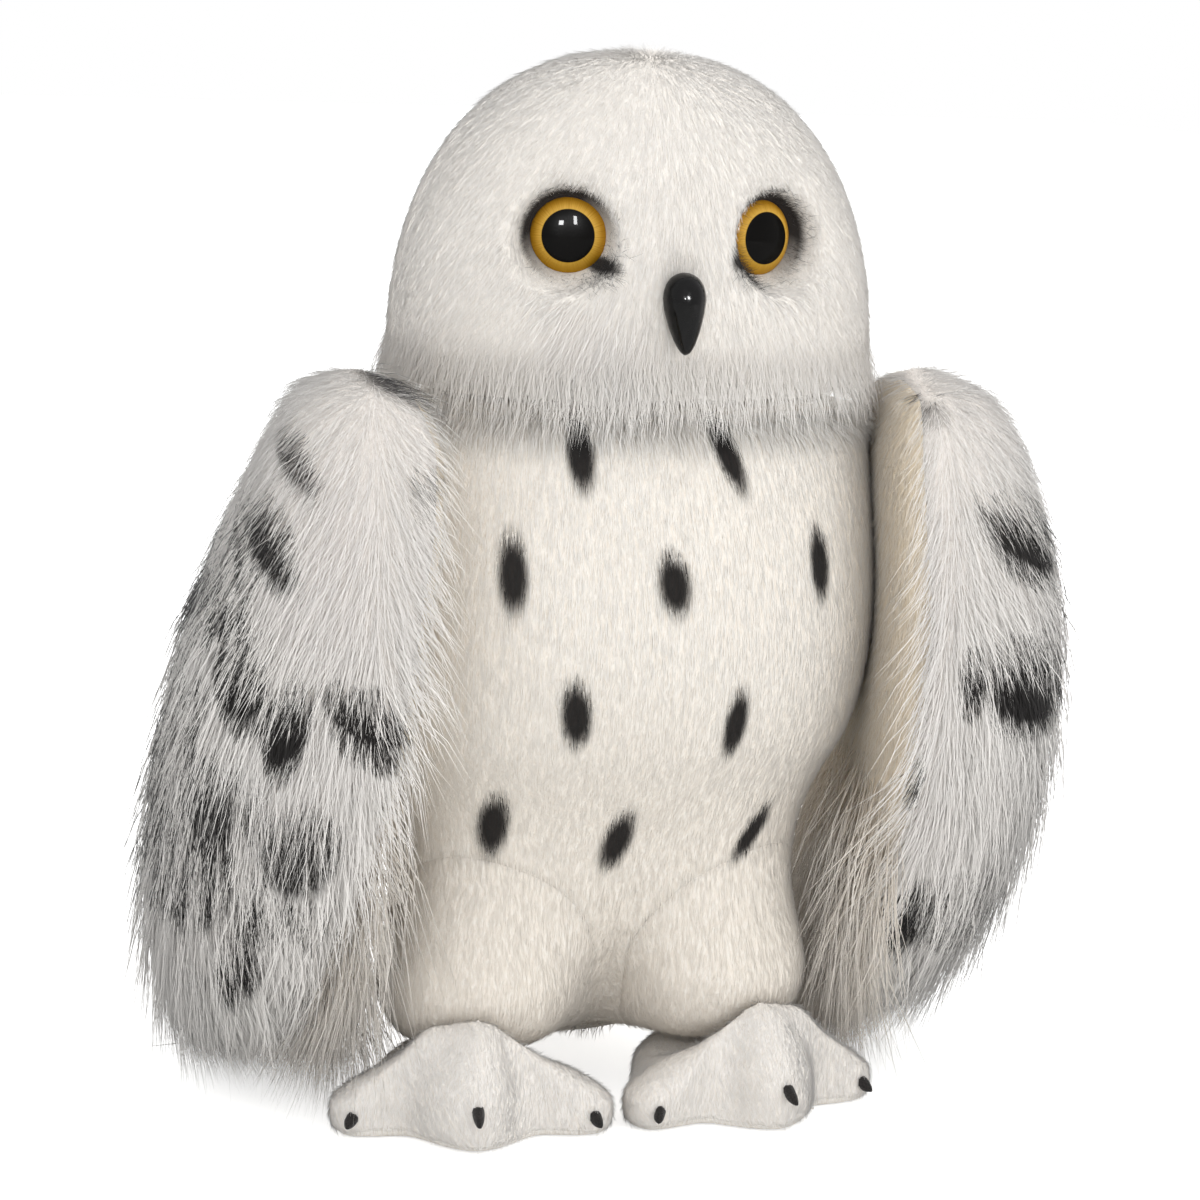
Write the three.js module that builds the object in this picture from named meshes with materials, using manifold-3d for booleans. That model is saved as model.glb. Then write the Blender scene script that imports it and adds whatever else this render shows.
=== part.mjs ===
import * as THREE from 'three';
import { mergeVertices } from 'three/addons/utils/BufferGeometryUtils.js';
import Module from 'manifold-3d';

// A standing plush owl, sewn from plush panels and stuffed.
// Millimetres, +Z up. The owl faces -Y and its left side is +X.
// It stands on its two soles at Z = 0.

const wasm = await Module();
wasm.setup();

// Driving dimensions
const clearance = 0.3;
const plushThickness = 4;
const neckHeight = 193.5;
const sideLean = 8.5;

const headHeight = 92.5;
const headWidestRise = 7.5;
const headHalfWidth = 67.6;
const headFaceDepth = 41;
const headBackDepth = 52;
const headUnderDepth = 26;
const headRoundness = 2.3;

const bodyHalfWidth = 72.5;
const bodyDepth = 113;
const bodySag = 6;
const bodyRoundness = 2.1;

const legLength = 62;
const legHalfWidth = 29;
const legGap = 8;
const legFrontDepth = 28;
const legBackDepth = 29;
const legSetback = -9;
const legSeatDepth = 18;

const footHeight = 34;
const footLength = 45;
const footGap = 1.6;
const footSetback = -8;
const toeOutAngle = THREE.MathUtils.degToRad(11);
const soleThickness = 2;
const solePressedDepth = 0.5;

const clawLength = 9;
const clawRadius = 2;
const clawHeight = 9.5;
const clawDroopAngle = THREE.MathUtils.degToRad(25);

const eyeRadius = 10.5;
const eyeDomeHeight = 5.5;
const eyeRimThickness = 1.6;
const eyeShankRadius = 2.5;
const eyeShankLength = 13;
const eyeOffset = 27.5;
const eyeRise = 43.5;
const eyeSunkDepth = 8.8;
const eyeYaw = THREE.MathUtils.degToRad(20);
const eyeSocketRadius = 15;

const beakWidth = 11.5;
const beakHeight = 21.5;
const beakDepth = 14;
const beakRise = 25;
const beakStandOff = 0.5;
const beakShankRadius = 2;
const beakShankLength = 17;

const washerRadius = 8;
const washerThickness = 1.5;

const wingRise = 9.5;
const wingBottom = 10;
const wingThickness = 44;
const wingDepth = 116;
const wingInturn = 16;
const wingRoundness = 2.6;
const wingPileThickness = 9;
const wingLiningThickness = 3;
const wingEdgeThickness = 5;

const tailLength = 58;
const tailHalfWidth = 23;
const tailThickness = 13;
const tailRootHeight = 62;
const tailAngle = THREE.MathUtils.degToRad(32);
const tailPileThickness = 4;
const tailLiningThickness = 2;
const tailEdgeThickness = 3;

const pelletBagHalfWidth = 26;
const pelletBagHeight = 22;

// Places that follow from the driving dimensions
const headTop = neckHeight + headHeight;
const headCentreHeight = neckHeight + headWidestRise;
const eyeHeight = neckHeight + eyeRise;
const legBottom = footHeight - legSeatDepth;
const legOffset = legHalfWidth + legGap / 2;
const bodyBottom = legBottom - bodySag;
const wingTop = neckHeight + wingRise;
const seamGap = clearance / 2;
const fillGap = 2 * clearance;

// Facet counts, finer outside than inside
const headFacets = { segments: 24, rings: 9 };
const headLiningFacets = { segments: 14, rings: 6 };
const bodyFacets = { segments: 24, rings: 13 };
const bodyLiningFacets = { segments: 14, rings: 8 };
const legFacets = { segments: 18, rings: 7 };
const legLiningFacets = { segments: 10, rings: 5 };
const footFacets = { segments: 28, rings: 7 };
const footLiningFacets = { segments: 14, rings: 5 };
const wingFacets = { segments: 20, rings: 12 };
const wingRoomFacets = { segments: 12, rings: 8 };
const tailFacets = { segments: 18, rings: 6 };
const tailRoomFacets = { segments: 12, rings: 5 };
const eyeFacets = { segments: 18, rings: 4 };
const beakFacets = { segments: 16, rings: 9 };
const socketFacets = { segments: 12, rings: 6 };
const bagFacets = { segments: 14, rings: 8 };
const shankSegments = 12;
const clawSegments = 10;

// Cross-sections from the bottom up, as shares of the part's own sizes.
// Columns: height, half-width, front, back, line of the widest place.
const bodyShares = [
  [0, 0, 0.124, 0.124, 0.124],
  [0.028, 0.3, -0.035, 0.283, 0.12],
  [0.071, 0.52, -0.09, 0.37, 0.09],
  [0.137, 0.675, -0.14, 0.44, 0.055],
  [0.214, 0.745, -0.185, 0.487, 0.03],
  [0.31, 0.793, -0.24, 0.513, 0],
  [0.395, 0.84, -0.32, 0.53, -0.02],
  [0.48, 0.93, -0.407, 0.54, -0.035],
  [0.58, 0.993, -0.46, 0.54, -0.045],
  [0.7, 1, -0.469, 0.522, -0.045],
  [0.81, 0.98, -0.434, 0.496, -0.035],
  [0.907, 0.95, -0.372, 0.46, -0.02],
  [1, 0.93, -0.3, 0.416, 0],
  [1.055, 0.8, -0.24, 0.36, 0],
  [1.075, 0, 0.05, 0.05, 0.05],
];

const legShares = [
  [0, 0, 0],
  [0.026, 0.66, 0.62],
  [0.11, 0.91, 0.9],
  [0.28, 1, 1],
  [0.49, 0.98, 0.97],
  [0.69, 0.86, 0.84],
  [0.9, 0.6, 0.58],
  [1, 0, 0],
];

// The plan of a foot, heel to toes, as shares of its length: side, forward.
const footOutlineShares = [
  [0, -0.36], [-0.3, -0.3], [-0.5, -0.02], [-0.66, 0.26],
  [-0.86, 0.48], [-0.8, 0.7], [-0.58, 0.72], [-0.4, 0.7],
  [-0.26, 0.86], [0, 1.02], [0.26, 0.86], [0.4, 0.7],
  [0.58, 0.72], [0.8, 0.7], [0.86, 0.48], [0.66, 0.26],
  [0.5, -0.02], [0.3, -0.3],
];
const instepForwardShare = 0.66;
// Columns: height, plan size
const footShares = [
  [0, 0], [0.006, 0.93], [0.11, 0.985], [0.26, 1], [0.42, 0.95],
  [0.58, 0.82], [0.74, 0.6], [0.9, 0.34], [1, 0],
];
// A claw's outline from its root to its tip: radius, length
const clawProfileShares = [[0, 0], [1, 0], [0.96, 0.35], [0.7, 0.7], [0.38, 0.9], [0, 1]];
// Where the tip of each claw lies: how far round the foot, how far forward, how high
const sideToeAngle = THREE.MathUtils.degToRad(44);
const clawShares = { inner: [-1, 1.07, 0.5], middle: [0, 1.11, 1], outer: [1, 1.07, 0.5] };
const clawTurnShare = 0.6;

// Columns: height, inner face as a share of the body's half-width, thickness, front edge, back edge
const wingShares = [
  [0, 1.1, 0.1, 0.3, 0.38],
  [0.035, 1.069, 0.364, 0.14, 0.44],
  [0.09, 1.054, 0.57, 0, 0.5],
  [0.17, 1.054, 0.711, -0.16, 0.53],
  [0.26, 1.054, 0.82, -0.28, 0.53],
  [0.35, 1.037, 0.905, -0.38, 0.51],
  [0.45, 1.014, 0.966, -0.45, 0.47],
  [0.56, 0.99, 1, -0.49, 0.42],
  [0.68, 0.975, 0.984, -0.5, 0.36],
  [0.8, 0.943, 0.923, -0.49, 0.29],
  [0.9, 0.931, 0.795, -0.44, 0.22],
  [0.965, 0.979, 0.557, -0.36, 0.14],
  [1, 1.05, 0.18, -0.14, -0.08],
];
const wingSeamShare = 0.14;
const wingTaperShare = 0.4;

// Columns: place along the tail, half-width, half-thickness
const tailShares = [
  [-0.3, 0, 0],
  [-0.26, 0.8, 0.7],
  [0, 0.88, 1],
  [0.35, 0.98, 1],
  [0.7, 1, 0.85],
  [0.92, 0.8, 0.6],
  [1, 0, 0],
];
// How far back in the body the tail's root lies
const tailRootShare = 0.4425;

// The beak, from its tip up. Columns: height, width, depth, forward
const beakShares = [
  [0, 0, 0, 0.2],
  [0.06, 0.3, 0.3, 0.2],
  [0.25, 0.62, 0.6, 0.12],
  [0.5, 0.9, 0.85, 0.03],
  [0.72, 1, 0.92, 0],
  [0.88, 0.82, 0.7, 0],
  [0.97, 0.45, 0.4, 0],
  [1, 0, 0, 0],
];
const beakFrontShare = 0.62;
const beakCoreShare = 0.3;

// How far the soft upper body leans to the owl's left at a given height
function leanAt(height) {
  const share = (height - legBottom) / (neckHeight - legBottom);
  return sideLean * THREE.MathUtils.clamp(share, 0, 1);
}

const mergeTolerance = 1e-4;

// Solids from geometry and back
function solidOf(geometry) {
  const bare = geometry.clone();
  bare.deleteAttribute('normal');
  bare.deleteAttribute('uv');
  const merged = mergeVertices(bare, mergeTolerance);
  const mesh = new wasm.Mesh({
    numProp: 3,
    vertProperties: new Float32Array(merged.attributes.position.array),
    triVerts: new Uint32Array(merged.index.array),
  });
  return new wasm.Manifold(mesh);
}

function geometryOf(solid) {
  const mesh = solid.getMesh();
  const geometry = new THREE.BufferGeometry();
  geometry.setAttribute('position', new THREE.BufferAttribute(new Float32Array(mesh.vertProperties), 3));
  geometry.setIndex(new THREE.BufferAttribute(new Uint32Array(mesh.triVerts), 1));
  return geometry;
}

function joined(solids) {
  return solids.reduce((sum, solid) => sum.add(solid));
}

// A closed skin over rings of points. The first and last rings are single points.
function skinOver(rings) {
  const count = rings[1].length;
  const points = [rings[0][0], ...rings.slice(1, -1).flat(), rings[rings.length - 1][0]];
  const last = points.length - 1;
  const index = [];
  const ringStart = (ring) => 1 + (ring - 1) * count;
  for (let i = 0; i < count; i += 1) {
    const next = (i + 1) % count;
    index.push(0, ringStart(1) + next, ringStart(1) + i);
    for (let ring = 1; ring < rings.length - 2; ring += 1) {
      const low = ringStart(ring);
      const high = ringStart(ring + 1);
      index.push(low + i, low + next, high + next);
      index.push(low + i, high + next, high + i);
    }
    const top = ringStart(rings.length - 2);
    index.push(top + i, top + next, last);
  }
  const geometry = new THREE.BufferGeometry();
  const places = points.flatMap((point) => point.toArray());
  geometry.setAttribute('position', new THREE.Float32BufferAttribute(places, 3));
  geometry.setIndex(signedVolume(points, index) < 0 ? flipped(index) : index);
  return geometry;
}

function signedVolume(points, index) {
  let sum = 0;
  for (let i = 0; i < index.length; i += 3) {
    const [a, b, c] = [points[index[i]], points[index[i + 1]], points[index[i + 2]]];
    sum += a.dot(b.clone().cross(c));
  }
  return sum;
}

function flipped(index) {
  const turned = [];
  for (let i = 0; i < index.length; i += 3) {
    turned.push(index[i], index[i + 2], index[i + 1]);
  }
  return turned;
}

// The same skin moved outward along its normals, or inward for a negative amount
function grown(geometry, amount) {
  const copy = geometry.clone();
  copy.computeVertexNormals();
  const position = copy.attributes.position;
  const normal = copy.attributes.normal;
  for (let i = 0; i < position.count; i += 1) {
    position.setXYZ(
      i,
      position.getX(i) + normal.getX(i) * amount,
      position.getY(i) + normal.getY(i) * amount,
      position.getZ(i) + normal.getZ(i) * amount,
    );
  }
  return copy;
}

// A level ring that is rounder or squarer by its roundness, with four separate reaches
function eggRing(height, centre, reach, roundness, segments) {
  const ring = [];
  for (let i = 0; i < segments; i += 1) {
    const angle = (2 * Math.PI * i) / segments;
    const across = Math.sign(Math.cos(angle)) * Math.abs(Math.cos(angle)) ** (2 / roundness);
    const along = Math.sign(Math.sin(angle)) * Math.abs(Math.sin(angle)) ** (2 / roundness);
    const x = centre.x + across * (across > 0 ? reach.right : reach.left);
    const y = centre.y + along * (along > 0 ? reach.back : reach.front);
    ring.push(new THREE.Vector3(x, y, height));
  }
  return ring;
}

// A smooth row between two rows of a table
function rowAt(rows, place) {
  const low = Math.min(Math.floor(place), rows.length - 2);
  const share = place - low;
  const before = rows[Math.max(low - 1, 0)];
  const after = rows[Math.min(low + 2, rows.length - 1)];
  return rows[low].map((value, column) => {
    const next = rows[low + 1][column];
    const startSlope = (next - before[column]) / 2;
    const endSlope = (after[column] - value) / 2;
    const cubic = share ** 3;
    const square = share ** 2;
    return value * (2 * cubic - 3 * square + 1) + startSlope * (cubic - 2 * square + share)
      + next * (3 * square - 2 * cubic) + endSlope * (cubic - square);
  });
}

// A table's rows again, spread over a number of rings
function rowsOf(rows, rings) {
  const last = rows.length - 1;
  const picked = [];
  for (let i = 0; i <= rings; i += 1) {
    picked.push(rowAt(rows, (last * i) / rings));
  }
  picked[0] = rows[0];
  picked[rings] = rows[last];
  return picked;
}

// A skin over one ring for each row, with the end rings drawn together into points
function formOf(rows, ringOfRow) {
  const rings = rows.map(ringOfRow);
  const end = rings.length - 1;
  return skinOver([[middleOf(rings[0])], ...rings.slice(1, end), [middleOf(rings[end])]]);
}

function middleOf(ring) {
  const sum = ring.reduce((total, point) => total.add(point), new THREE.Vector3());
  return sum.divideScalar(ring.length);
}

// A block between two corners, used to keep one side of a seam
const farOut = 2 * (headTop + bodyHalfWidth + wingThickness);

function blockBetween(low, high) {
  const size = new THREE.Vector3().subVectors(high, low);
  const centre = new THREE.Vector3().addVectors(low, high).divideScalar(2);
  const box = new THREE.BoxGeometry(size.x, size.y, size.z);
  box.translate(centre.x, centre.y, centre.z);
  return solidOf(box);
}

const farLow = new THREE.Vector3(-farOut, -farOut, -farOut);
const farHigh = new THREE.Vector3(farOut, farOut, farOut);

function above(height) {
  return blockBetween(farLow.clone().setZ(height), farHigh);
}

function below(height) {
  return blockBetween(farLow, farHigh.clone().setZ(height));
}

function inFrontOf(place) {
  return blockBetween(farLow, farHigh.clone().setY(place));
}

function behind(place) {
  return blockBetween(farLow.clone().setY(place), farHigh);
}

// Turned pieces are made along +Z and then aimed
function aimed(geometry, direction, place) {
  const turn = new THREE.Quaternion().setFromUnitVectors(new THREE.Vector3(0, 0, 1), direction);
  return geometry.clone().applyQuaternion(turn).translate(place.x, place.y, place.z);
}

function turned(profile, segments) {
  const points = profile.map(([radius, height]) => new THREE.Vector2(radius, height));
  return new THREE.LatheGeometry(points, segments).rotateX(Math.PI / 2);
}

// Head: a squat dome, flatter in the face than at the back, open at the neck
const lowestHeadAngle = -Math.PI / 4;

function headForm({ segments, rings }) {
  const angles = [-Math.PI / 2];
  for (let i = 1; i <= rings; i += 1) {
    angles.push(lowestHeadAngle + (i / rings) * (Math.PI / 2 - lowestHeadAngle));
  }
  return formOf(angles, (angle) => {
    const rise = Math.abs(Math.sin(angle)) ** (2 / headRoundness) * Math.sign(angle);
    const span = Math.max(Math.cos(angle), 0) ** (2 / headRoundness);
    const half = angle > 0 ? headTop - headCentreHeight : headUnderDepth;
    const reach = {
      left: headHalfWidth * span,
      right: headHalfWidth * span,
      front: headFaceDepth * span,
      back: headBackDepth * span,
    };
    const centre = new THREE.Vector2(leanAt(neckHeight), 0);
    return eggRing(headCentreHeight + half * rise, centre, reach, headRoundness, segments);
  });
}

// How far the face stands in front of the head's middle at a place on it
function faceDepthAt(across, height) {
  const rise = (height - headCentreHeight) / (headTop - headCentreHeight);
  const span = (1 - Math.abs(rise) ** headRoundness) ** (1 / headRoundness);
  const share = Math.abs(across) / (headHalfWidth * span);
  return headFaceDepth * span * (1 - share ** headRoundness) ** (1 / headRoundness);
}

// Eyes: side is +1 for the owl's left and -1 for its right
function eyeDirection(side) {
  return new THREE.Vector3(side * Math.sin(eyeYaw), -Math.cos(eyeYaw), 0);
}

// The middle of the flat back of the eye's dome
function eyeSeat(side) {
  const depth = faceDepthAt(eyeOffset, eyeHeight) - eyeSunkDepth;
  const apex = new THREE.Vector3(leanAt(neckHeight) + side * eyeOffset, -depth, eyeHeight);
  return apex.addScaledVector(eyeDirection(side), -eyeDomeHeight);
}

function eyeProfile(extra) {
  const dome = [];
  for (let i = 0; i < eyeFacets.rings; i += 1) {
    const angle = (i / eyeFacets.rings) * (Math.PI / 2);
    dome.push([(eyeRadius + extra) * Math.cos(angle), (eyeDomeHeight + extra) * Math.sin(angle)]);
  }
  return [
    [0, -eyeRimThickness - eyeShankLength - extra],
    [eyeShankRadius + extra, -eyeRimThickness - eyeShankLength - extra],
    [eyeShankRadius + extra, -eyeRimThickness - extra],
    [eyeRadius + extra, -eyeRimThickness - extra],
    ...dome,
    [0, eyeDomeHeight + extra],
  ];
}

function eyeSolid(side, extra) {
  return solidOf(aimed(turned(eyeProfile(extra), eyeFacets.segments), eyeDirection(side), eyeSeat(side)));
}

// The plush is pressed in around each eye, so that the eye lies in a bowl
function eyeBowl(side, extra) {
  const ball = new THREE.SphereGeometry(eyeSocketRadius + extra, socketFacets.segments, socketFacets.rings);
  const place = eyeSeat(side).addScaledVector(eyeDirection(side), eyeSocketRadius - eyeRimThickness);
  return solidOf(aimed(ball, eyeDirection(side), place));
}

// Washers snap onto a shank behind the plush and hold the eye or the beak
const eyeWasherDepth = eyeRimThickness + plushThickness + 2 * clearance;
const beakWasherDepth = plushThickness + beakStandOff + 2 * clearance;

function washer(direction, seat, shankRadius, depth) {
  const inner = shankRadius + clearance;
  const profile = [
    [inner, -depth - washerThickness],
    [washerRadius, -depth - washerThickness],
    [washerRadius, -depth],
    [inner, -depth],
    [inner, -depth - washerThickness],
  ];
  return solidOf(aimed(turned(profile, eyeFacets.segments), direction, seat));
}

// Room for a washer and the end of its shank, from a front face to behind the shank
function washerPocket(direction, seat, front, shankEnd) {
  const profile = [
    [0, -shankEnd - clearance],
    [washerRadius + clearance, -shankEnd - clearance],
    [washerRadius + clearance, front],
    [0, front],
  ];
  return solidOf(aimed(turned(profile, shankSegments), direction, seat));
}

// Beak: level rings that swell and then taper to a hooked tip
const beakDirection = new THREE.Vector3(0, -1, 0);
const beakHeightAboveFloor = neckHeight + beakRise;
const beakSeat = new THREE.Vector3(
  leanAt(neckHeight),
  -faceDepthAt(0, beakHeightAboveFloor) - beakStandOff,
  beakHeightAboveFloor,
);

function beakForm() {
  return formOf(rowsOf(beakShares, beakFacets.rings), ([rise, wide, deep, forward]) => {
    const centre = new THREE.Vector2(beakSeat.x, beakSeat.y - forward * beakDepth);
    const reach = {
      left: (wide * beakWidth) / 2,
      right: (wide * beakWidth) / 2,
      front: deep * beakDepth * beakFrontShare,
      back: deep * beakDepth * (1 - beakFrontShare),
    };
    const height = beakSeat.z - beakHeight / 2 + rise * beakHeight;
    return eggRing(height, centre, reach, 2, beakFacets.segments);
  });
}

function beakShank(extra) {
  const profile = [
    [0, -beakShankLength - extra],
    [beakShankRadius + extra, -beakShankLength - extra],
    [beakShankRadius + extra, beakDepth * beakCoreShare],
    [0, beakDepth * beakCoreShare],
  ];
  return solidOf(aimed(turned(profile, shankSegments), beakDirection, beakSeat));
}

// Body: narrow at the rump, fullest at the belly, drawn in a little at the neck
function bodyForm({ segments, rings }) {
  return formOf(rowsOf(bodyShares, rings), ([rise, wide, front, back, line]) => {
    const height = bodyBottom + rise * (neckHeight - bodyBottom);
    const centre = new THREE.Vector2(leanAt(height), line * bodyDepth);
    const reach = {
      left: wide * bodyHalfWidth,
      right: wide * bodyHalfWidth,
      front: (line - front) * bodyDepth,
      back: (back - line) * bodyDepth,
    };
    return eggRing(height, centre, reach, bodyRoundness, segments);
  });
}

// Legs: short round thighs
function legForm(side, { segments, rings }) {
  return formOf(rowsOf(legShares, rings), ([rise, wide, deep]) => {
    const height = legBottom + rise * legLength;
    const centre = new THREE.Vector2(side * legOffset + leanAt(height), legSetback);
    const reach = {
      left: wide * legHalfWidth,
      right: wide * legHalfWidth,
      front: deep * legFrontDepth,
      back: deep * legBackDepth,
    };
    return eggRing(height, centre, reach, bodyRoundness, segments);
  });
}

// Feet: the same three-toed plan at each level, drawn in towards the instep
const footOutline = new THREE.CatmullRomCurve3(
  footOutlineShares.map((shares) => new THREE.Vector3(...shares, 0).multiplyScalar(footLength)),
  true,
);
const footReach = Math.max(...footOutline.getPoints(footFacets.segments).map((point) => (
  point.x * Math.cos(toeOutAngle) - point.y * Math.sin(toeOutAngle)
)));
const footOffset = footReach + footGap / 2;

// A place given in the foot's own frame: across towards the owl's left, forward along the foot
function footPlace(side, across, forward, height) {
  const angle = side * toeOutAngle;
  const x = side * footOffset + across * Math.cos(angle) + forward * Math.sin(angle);
  const y = footSetback + across * Math.sin(angle) - forward * Math.cos(angle);
  return new THREE.Vector3(x, y, height);
}

function footForm(side, { segments, rings }, wall) {
  const outline = footOutline.getPoints(segments).slice(0, segments);
  const instep = instepForwardShare * footLength;
  const wallShare = wall / (footLength / 2);
  return formOf(rowsOf(footShares, rings), ([rise, size]) => outline.map((point) => {
    const left = Math.max(size - wallShare, 0);
    const across = point.x * left;
    const forward = instep + (point.y - instep) * left;
    const height = rise * (footHeight + solePressedDepth - wall) - solePressedDepth;
    return footPlace(side, across, forward, height);
  }));
}

// Claws: small felt points that look out of the ends of the toes
function clawForm(side, [turnShare, reachShare, heightShare]) {
  const toeAngle = side * turnShare * sideToeAngle;
  const reach = reachShare * footLength;
  const height = heightShare * clawHeight;
  const place = footPlace(side, Math.sin(toeAngle) * reach, Math.cos(toeAngle) * reach, height);
  const turn = toeAngle * clawTurnShare;
  const level = footPlace(side, Math.sin(turn), Math.cos(turn), 0).sub(footPlace(side, 0, 0, 0));
  const direction = level.multiplyScalar(Math.cos(clawDroopAngle)).setZ(-Math.sin(clawDroopAngle));
  const profile = clawProfileShares.map(([radius, along]) => [radius * clawRadius, (along - 1) * clawLength]);
  return aimed(turned(profile, clawSegments), direction, place);
}

// Wings: slices through a hanging pad, given by its inner and outer faces and its edges.
// The walls are what is taken off each face for the room inside.
const noWalls = { lining: 0, pile: 0, edge: 0 };
const wingWalls = { lining: wingLiningThickness, pile: wingPileThickness, edge: wingEdgeThickness };
const thicker = (walls) => (
  { lining: walls.lining + fillGap, pile: walls.pile + fillGap, edge: walls.edge + fillGap }
);
const wingSlope = wingInturn / wingDepth;

function wingSlice([rise, inner, thick, front, back], walls) {
  const low = wingBottom + walls.edge;
  const high = wingTop - walls.edge;
  const inward = wingThickness * wingSeamShare;
  return {
    height: low + rise * (high - low),
    seam: inner * bodyHalfWidth + thick * inward,
    inward: thick * (inward - walls.lining),
    outward: thick * (wingThickness - inward - walls.pile),
    middle: ((front + back) * wingDepth) / 2,
    half: Math.max(((back - front) * wingDepth) / 2 - walls.edge, 0),
  };
}

function wingForm(side, { segments, rings }, walls) {
  return formOf(rowsOf(wingShares, rings), (row) => {
    const slice = wingSlice(row, walls);
    const centre = new THREE.Vector2(side * slice.seam + leanAt(slice.height), slice.middle);
    const reach = {
      left: side > 0 ? slice.inward : slice.outward,
      right: side > 0 ? slice.outward : slice.inward,
      front: slice.half,
      back: slice.half,
    };
    const ring = eggRing(slice.height, centre, reach, wingRoundness, segments);
    return ring.map((point) => {
      const backward = slice.half > 0 ? (point.y - slice.middle) / slice.half : 0;
      const swell = 1 - wingTaperShare * backward;
      const x = centre.x + (point.x - centre.x) * swell + side * wingSlope * point.y;
      return point.setX(x);
    });
  });
}

// Everything on the outer side of a wing's seam surface, moved out by a gap
function wingOutside(side, gap) {
  const corners = rowsOf(wingShares, wingFacets.rings).map((row) => {
    const slice = wingSlice(row, noWalls);
    const near = side * (slice.seam + gap) + leanAt(slice.height);
    const far = side * farOut;
    const turn = side * wingSlope * farOut;
    return [
      new THREE.Vector3(near - turn, -farOut, slice.height),
      new THREE.Vector3(near + turn, farOut, slice.height),
      new THREE.Vector3(far + turn, farOut, slice.height),
      new THREE.Vector3(far - turn, -farOut, slice.height),
    ];
  });
  const end = corners.length - 1;
  corners[0].forEach((point) => point.setZ(-farOut));
  corners[end].forEach((point) => point.setZ(farOut));
  return solidOf(skinOver([[middleOf(corners[0])], ...corners, [middleOf(corners[end])]]));
}

// Tail: made hanging straight down from its root, then swung back
const tailWalls = { lining: tailLiningThickness, pile: tailPileThickness, edge: tailEdgeThickness };
const tailRoot = new THREE.Vector3(leanAt(tailRootHeight), tailRootShare * bodyDepth, tailRootHeight);

function tailForm({ segments, rings }, walls) {
  const form = formOf(rowsOf(tailShares, rings), ([along, wide, thick]) => {
    const across = Math.max(wide * tailHalfWidth - walls.edge, 0);
    const reach = {
      left: across,
      right: across,
      front: Math.max((thick * tailThickness) / 2 - walls.lining, 0),
      back: Math.max((thick * tailThickness) / 2 - walls.pile, 0),
    };
    const height = -along * (tailLength - walls.edge);
    return eggRing(height, new THREE.Vector2(0, 0), reach, wingRoundness, segments);
  });
  return form.rotateX(tailAngle).translate(tailRoot.x, tailRoot.y, tailRoot.z);
}

function tailBehind(gap) {
  const box = new THREE.BoxGeometry(farOut, farOut, farOut);
  box.translate(0, farOut / 2 + gap, 0);
  return solidOf(box.rotateX(tailAngle).translate(tailRoot.x, tailRoot.y, tailRoot.z));
}

// The finishes
function finish(color, roughness) {
  return new THREE.MeshStandardMaterial({ color, roughness, metalness: 0 });
}

const owl = new THREE.Group();
const sides = [['left', 1], ['right', -1]];

function add(parent, name, solid, material) {
  const mesh = new THREE.Mesh(geometryOf(solid), material);
  mesh.name = name;
  parent.add(mesh);
}

// Surfaces that neighbours are cut by
const headSkin = headForm(headFacets);
const headCutter = solidOf(grown(headSkin, clearance));
const bodySkin = bodyForm(bodyFacets);
const bodyCutter = solidOf(grown(bodySkin, clearance));

function buildHead() {
  const group = new THREE.Group();
  const lining = grown(headForm(headLiningFacets), -plushThickness);
  const aboveNeck = above(neckHeight + seamGap);
  const bowls = joined(sides.map(([, side]) => eyeBowl(side, 0)));
  const cups = (extra) => joined(sides.map(([, side]) => eyeBowl(side, plushThickness + extra)));
  const eyes = joined(sides.map(([, side]) => eyeSolid(side, clearance)));
  const eyeShankEnd = eyeRimThickness + eyeShankLength;
  const eyePockets = joined(sides.map(([, side]) => washerPocket(
    eyeDirection(side), eyeSeat(side), plushThickness - eyeWasherDepth, eyeShankEnd,
  )));
  const beakPocket = washerPocket(beakDirection, beakSeat, clearance - beakWasherDepth, beakShankLength);
  const cover = solidOf(headSkin)
    .intersect(aboveNeck)
    .subtract(solidOf(lining).subtract(cups(0)))
    .subtract(bowls)
    .subtract(eyes)
    .subtract(beakShank(clearance))
    .subtract(beakPocket);
  add(group, 'head_cover', cover, finish(0xf1eeea, 0.95));

  const fill = solidOf(grown(lining, -fillGap))
    .intersect(aboveNeck)
    .subtract(cups(fillGap))
    .subtract(eyePockets)
    .subtract(beakPocket);
  add(group, 'head_stuffing', fill, finish(0xf6f6f4, 1));

  for (const [name, side] of sides) {
    const eyeWasher = washer(eyeDirection(side), eyeSeat(side), eyeShankRadius, eyeWasherDepth);
    add(group, `eye_${name}`, eyeSolid(side, 0), finish(0xc8891a, 0.15));
    add(group, `eye_washer_${name}`, eyeWasher, finish(0xdfe2e4, 0.5));
  }
  const beak = solidOf(beakForm()).subtract(headCutter).add(beakShank(0));
  const beakWasher = washer(beakDirection, beakSeat, beakShankRadius, beakWasherDepth);
  add(group, 'beak', beak, finish(0x101011, 0.2));
  add(group, 'beak_washer', beakWasher, finish(0xdfe2e4, 0.5));
  return group;
}

function pelletBag(extra) {
  const ball = new THREE.SphereGeometry(1, bagFacets.segments, bagFacets.rings);
  const radius = pelletBagHalfWidth + extra;
  ball.scale(radius, radius, pelletBagHeight + extra);
  const height = bodyBottom + plushThickness;
  return solidOf(ball.translate(leanAt(height), bodyShares[0][4] * bodyDepth, height));
}

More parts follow.
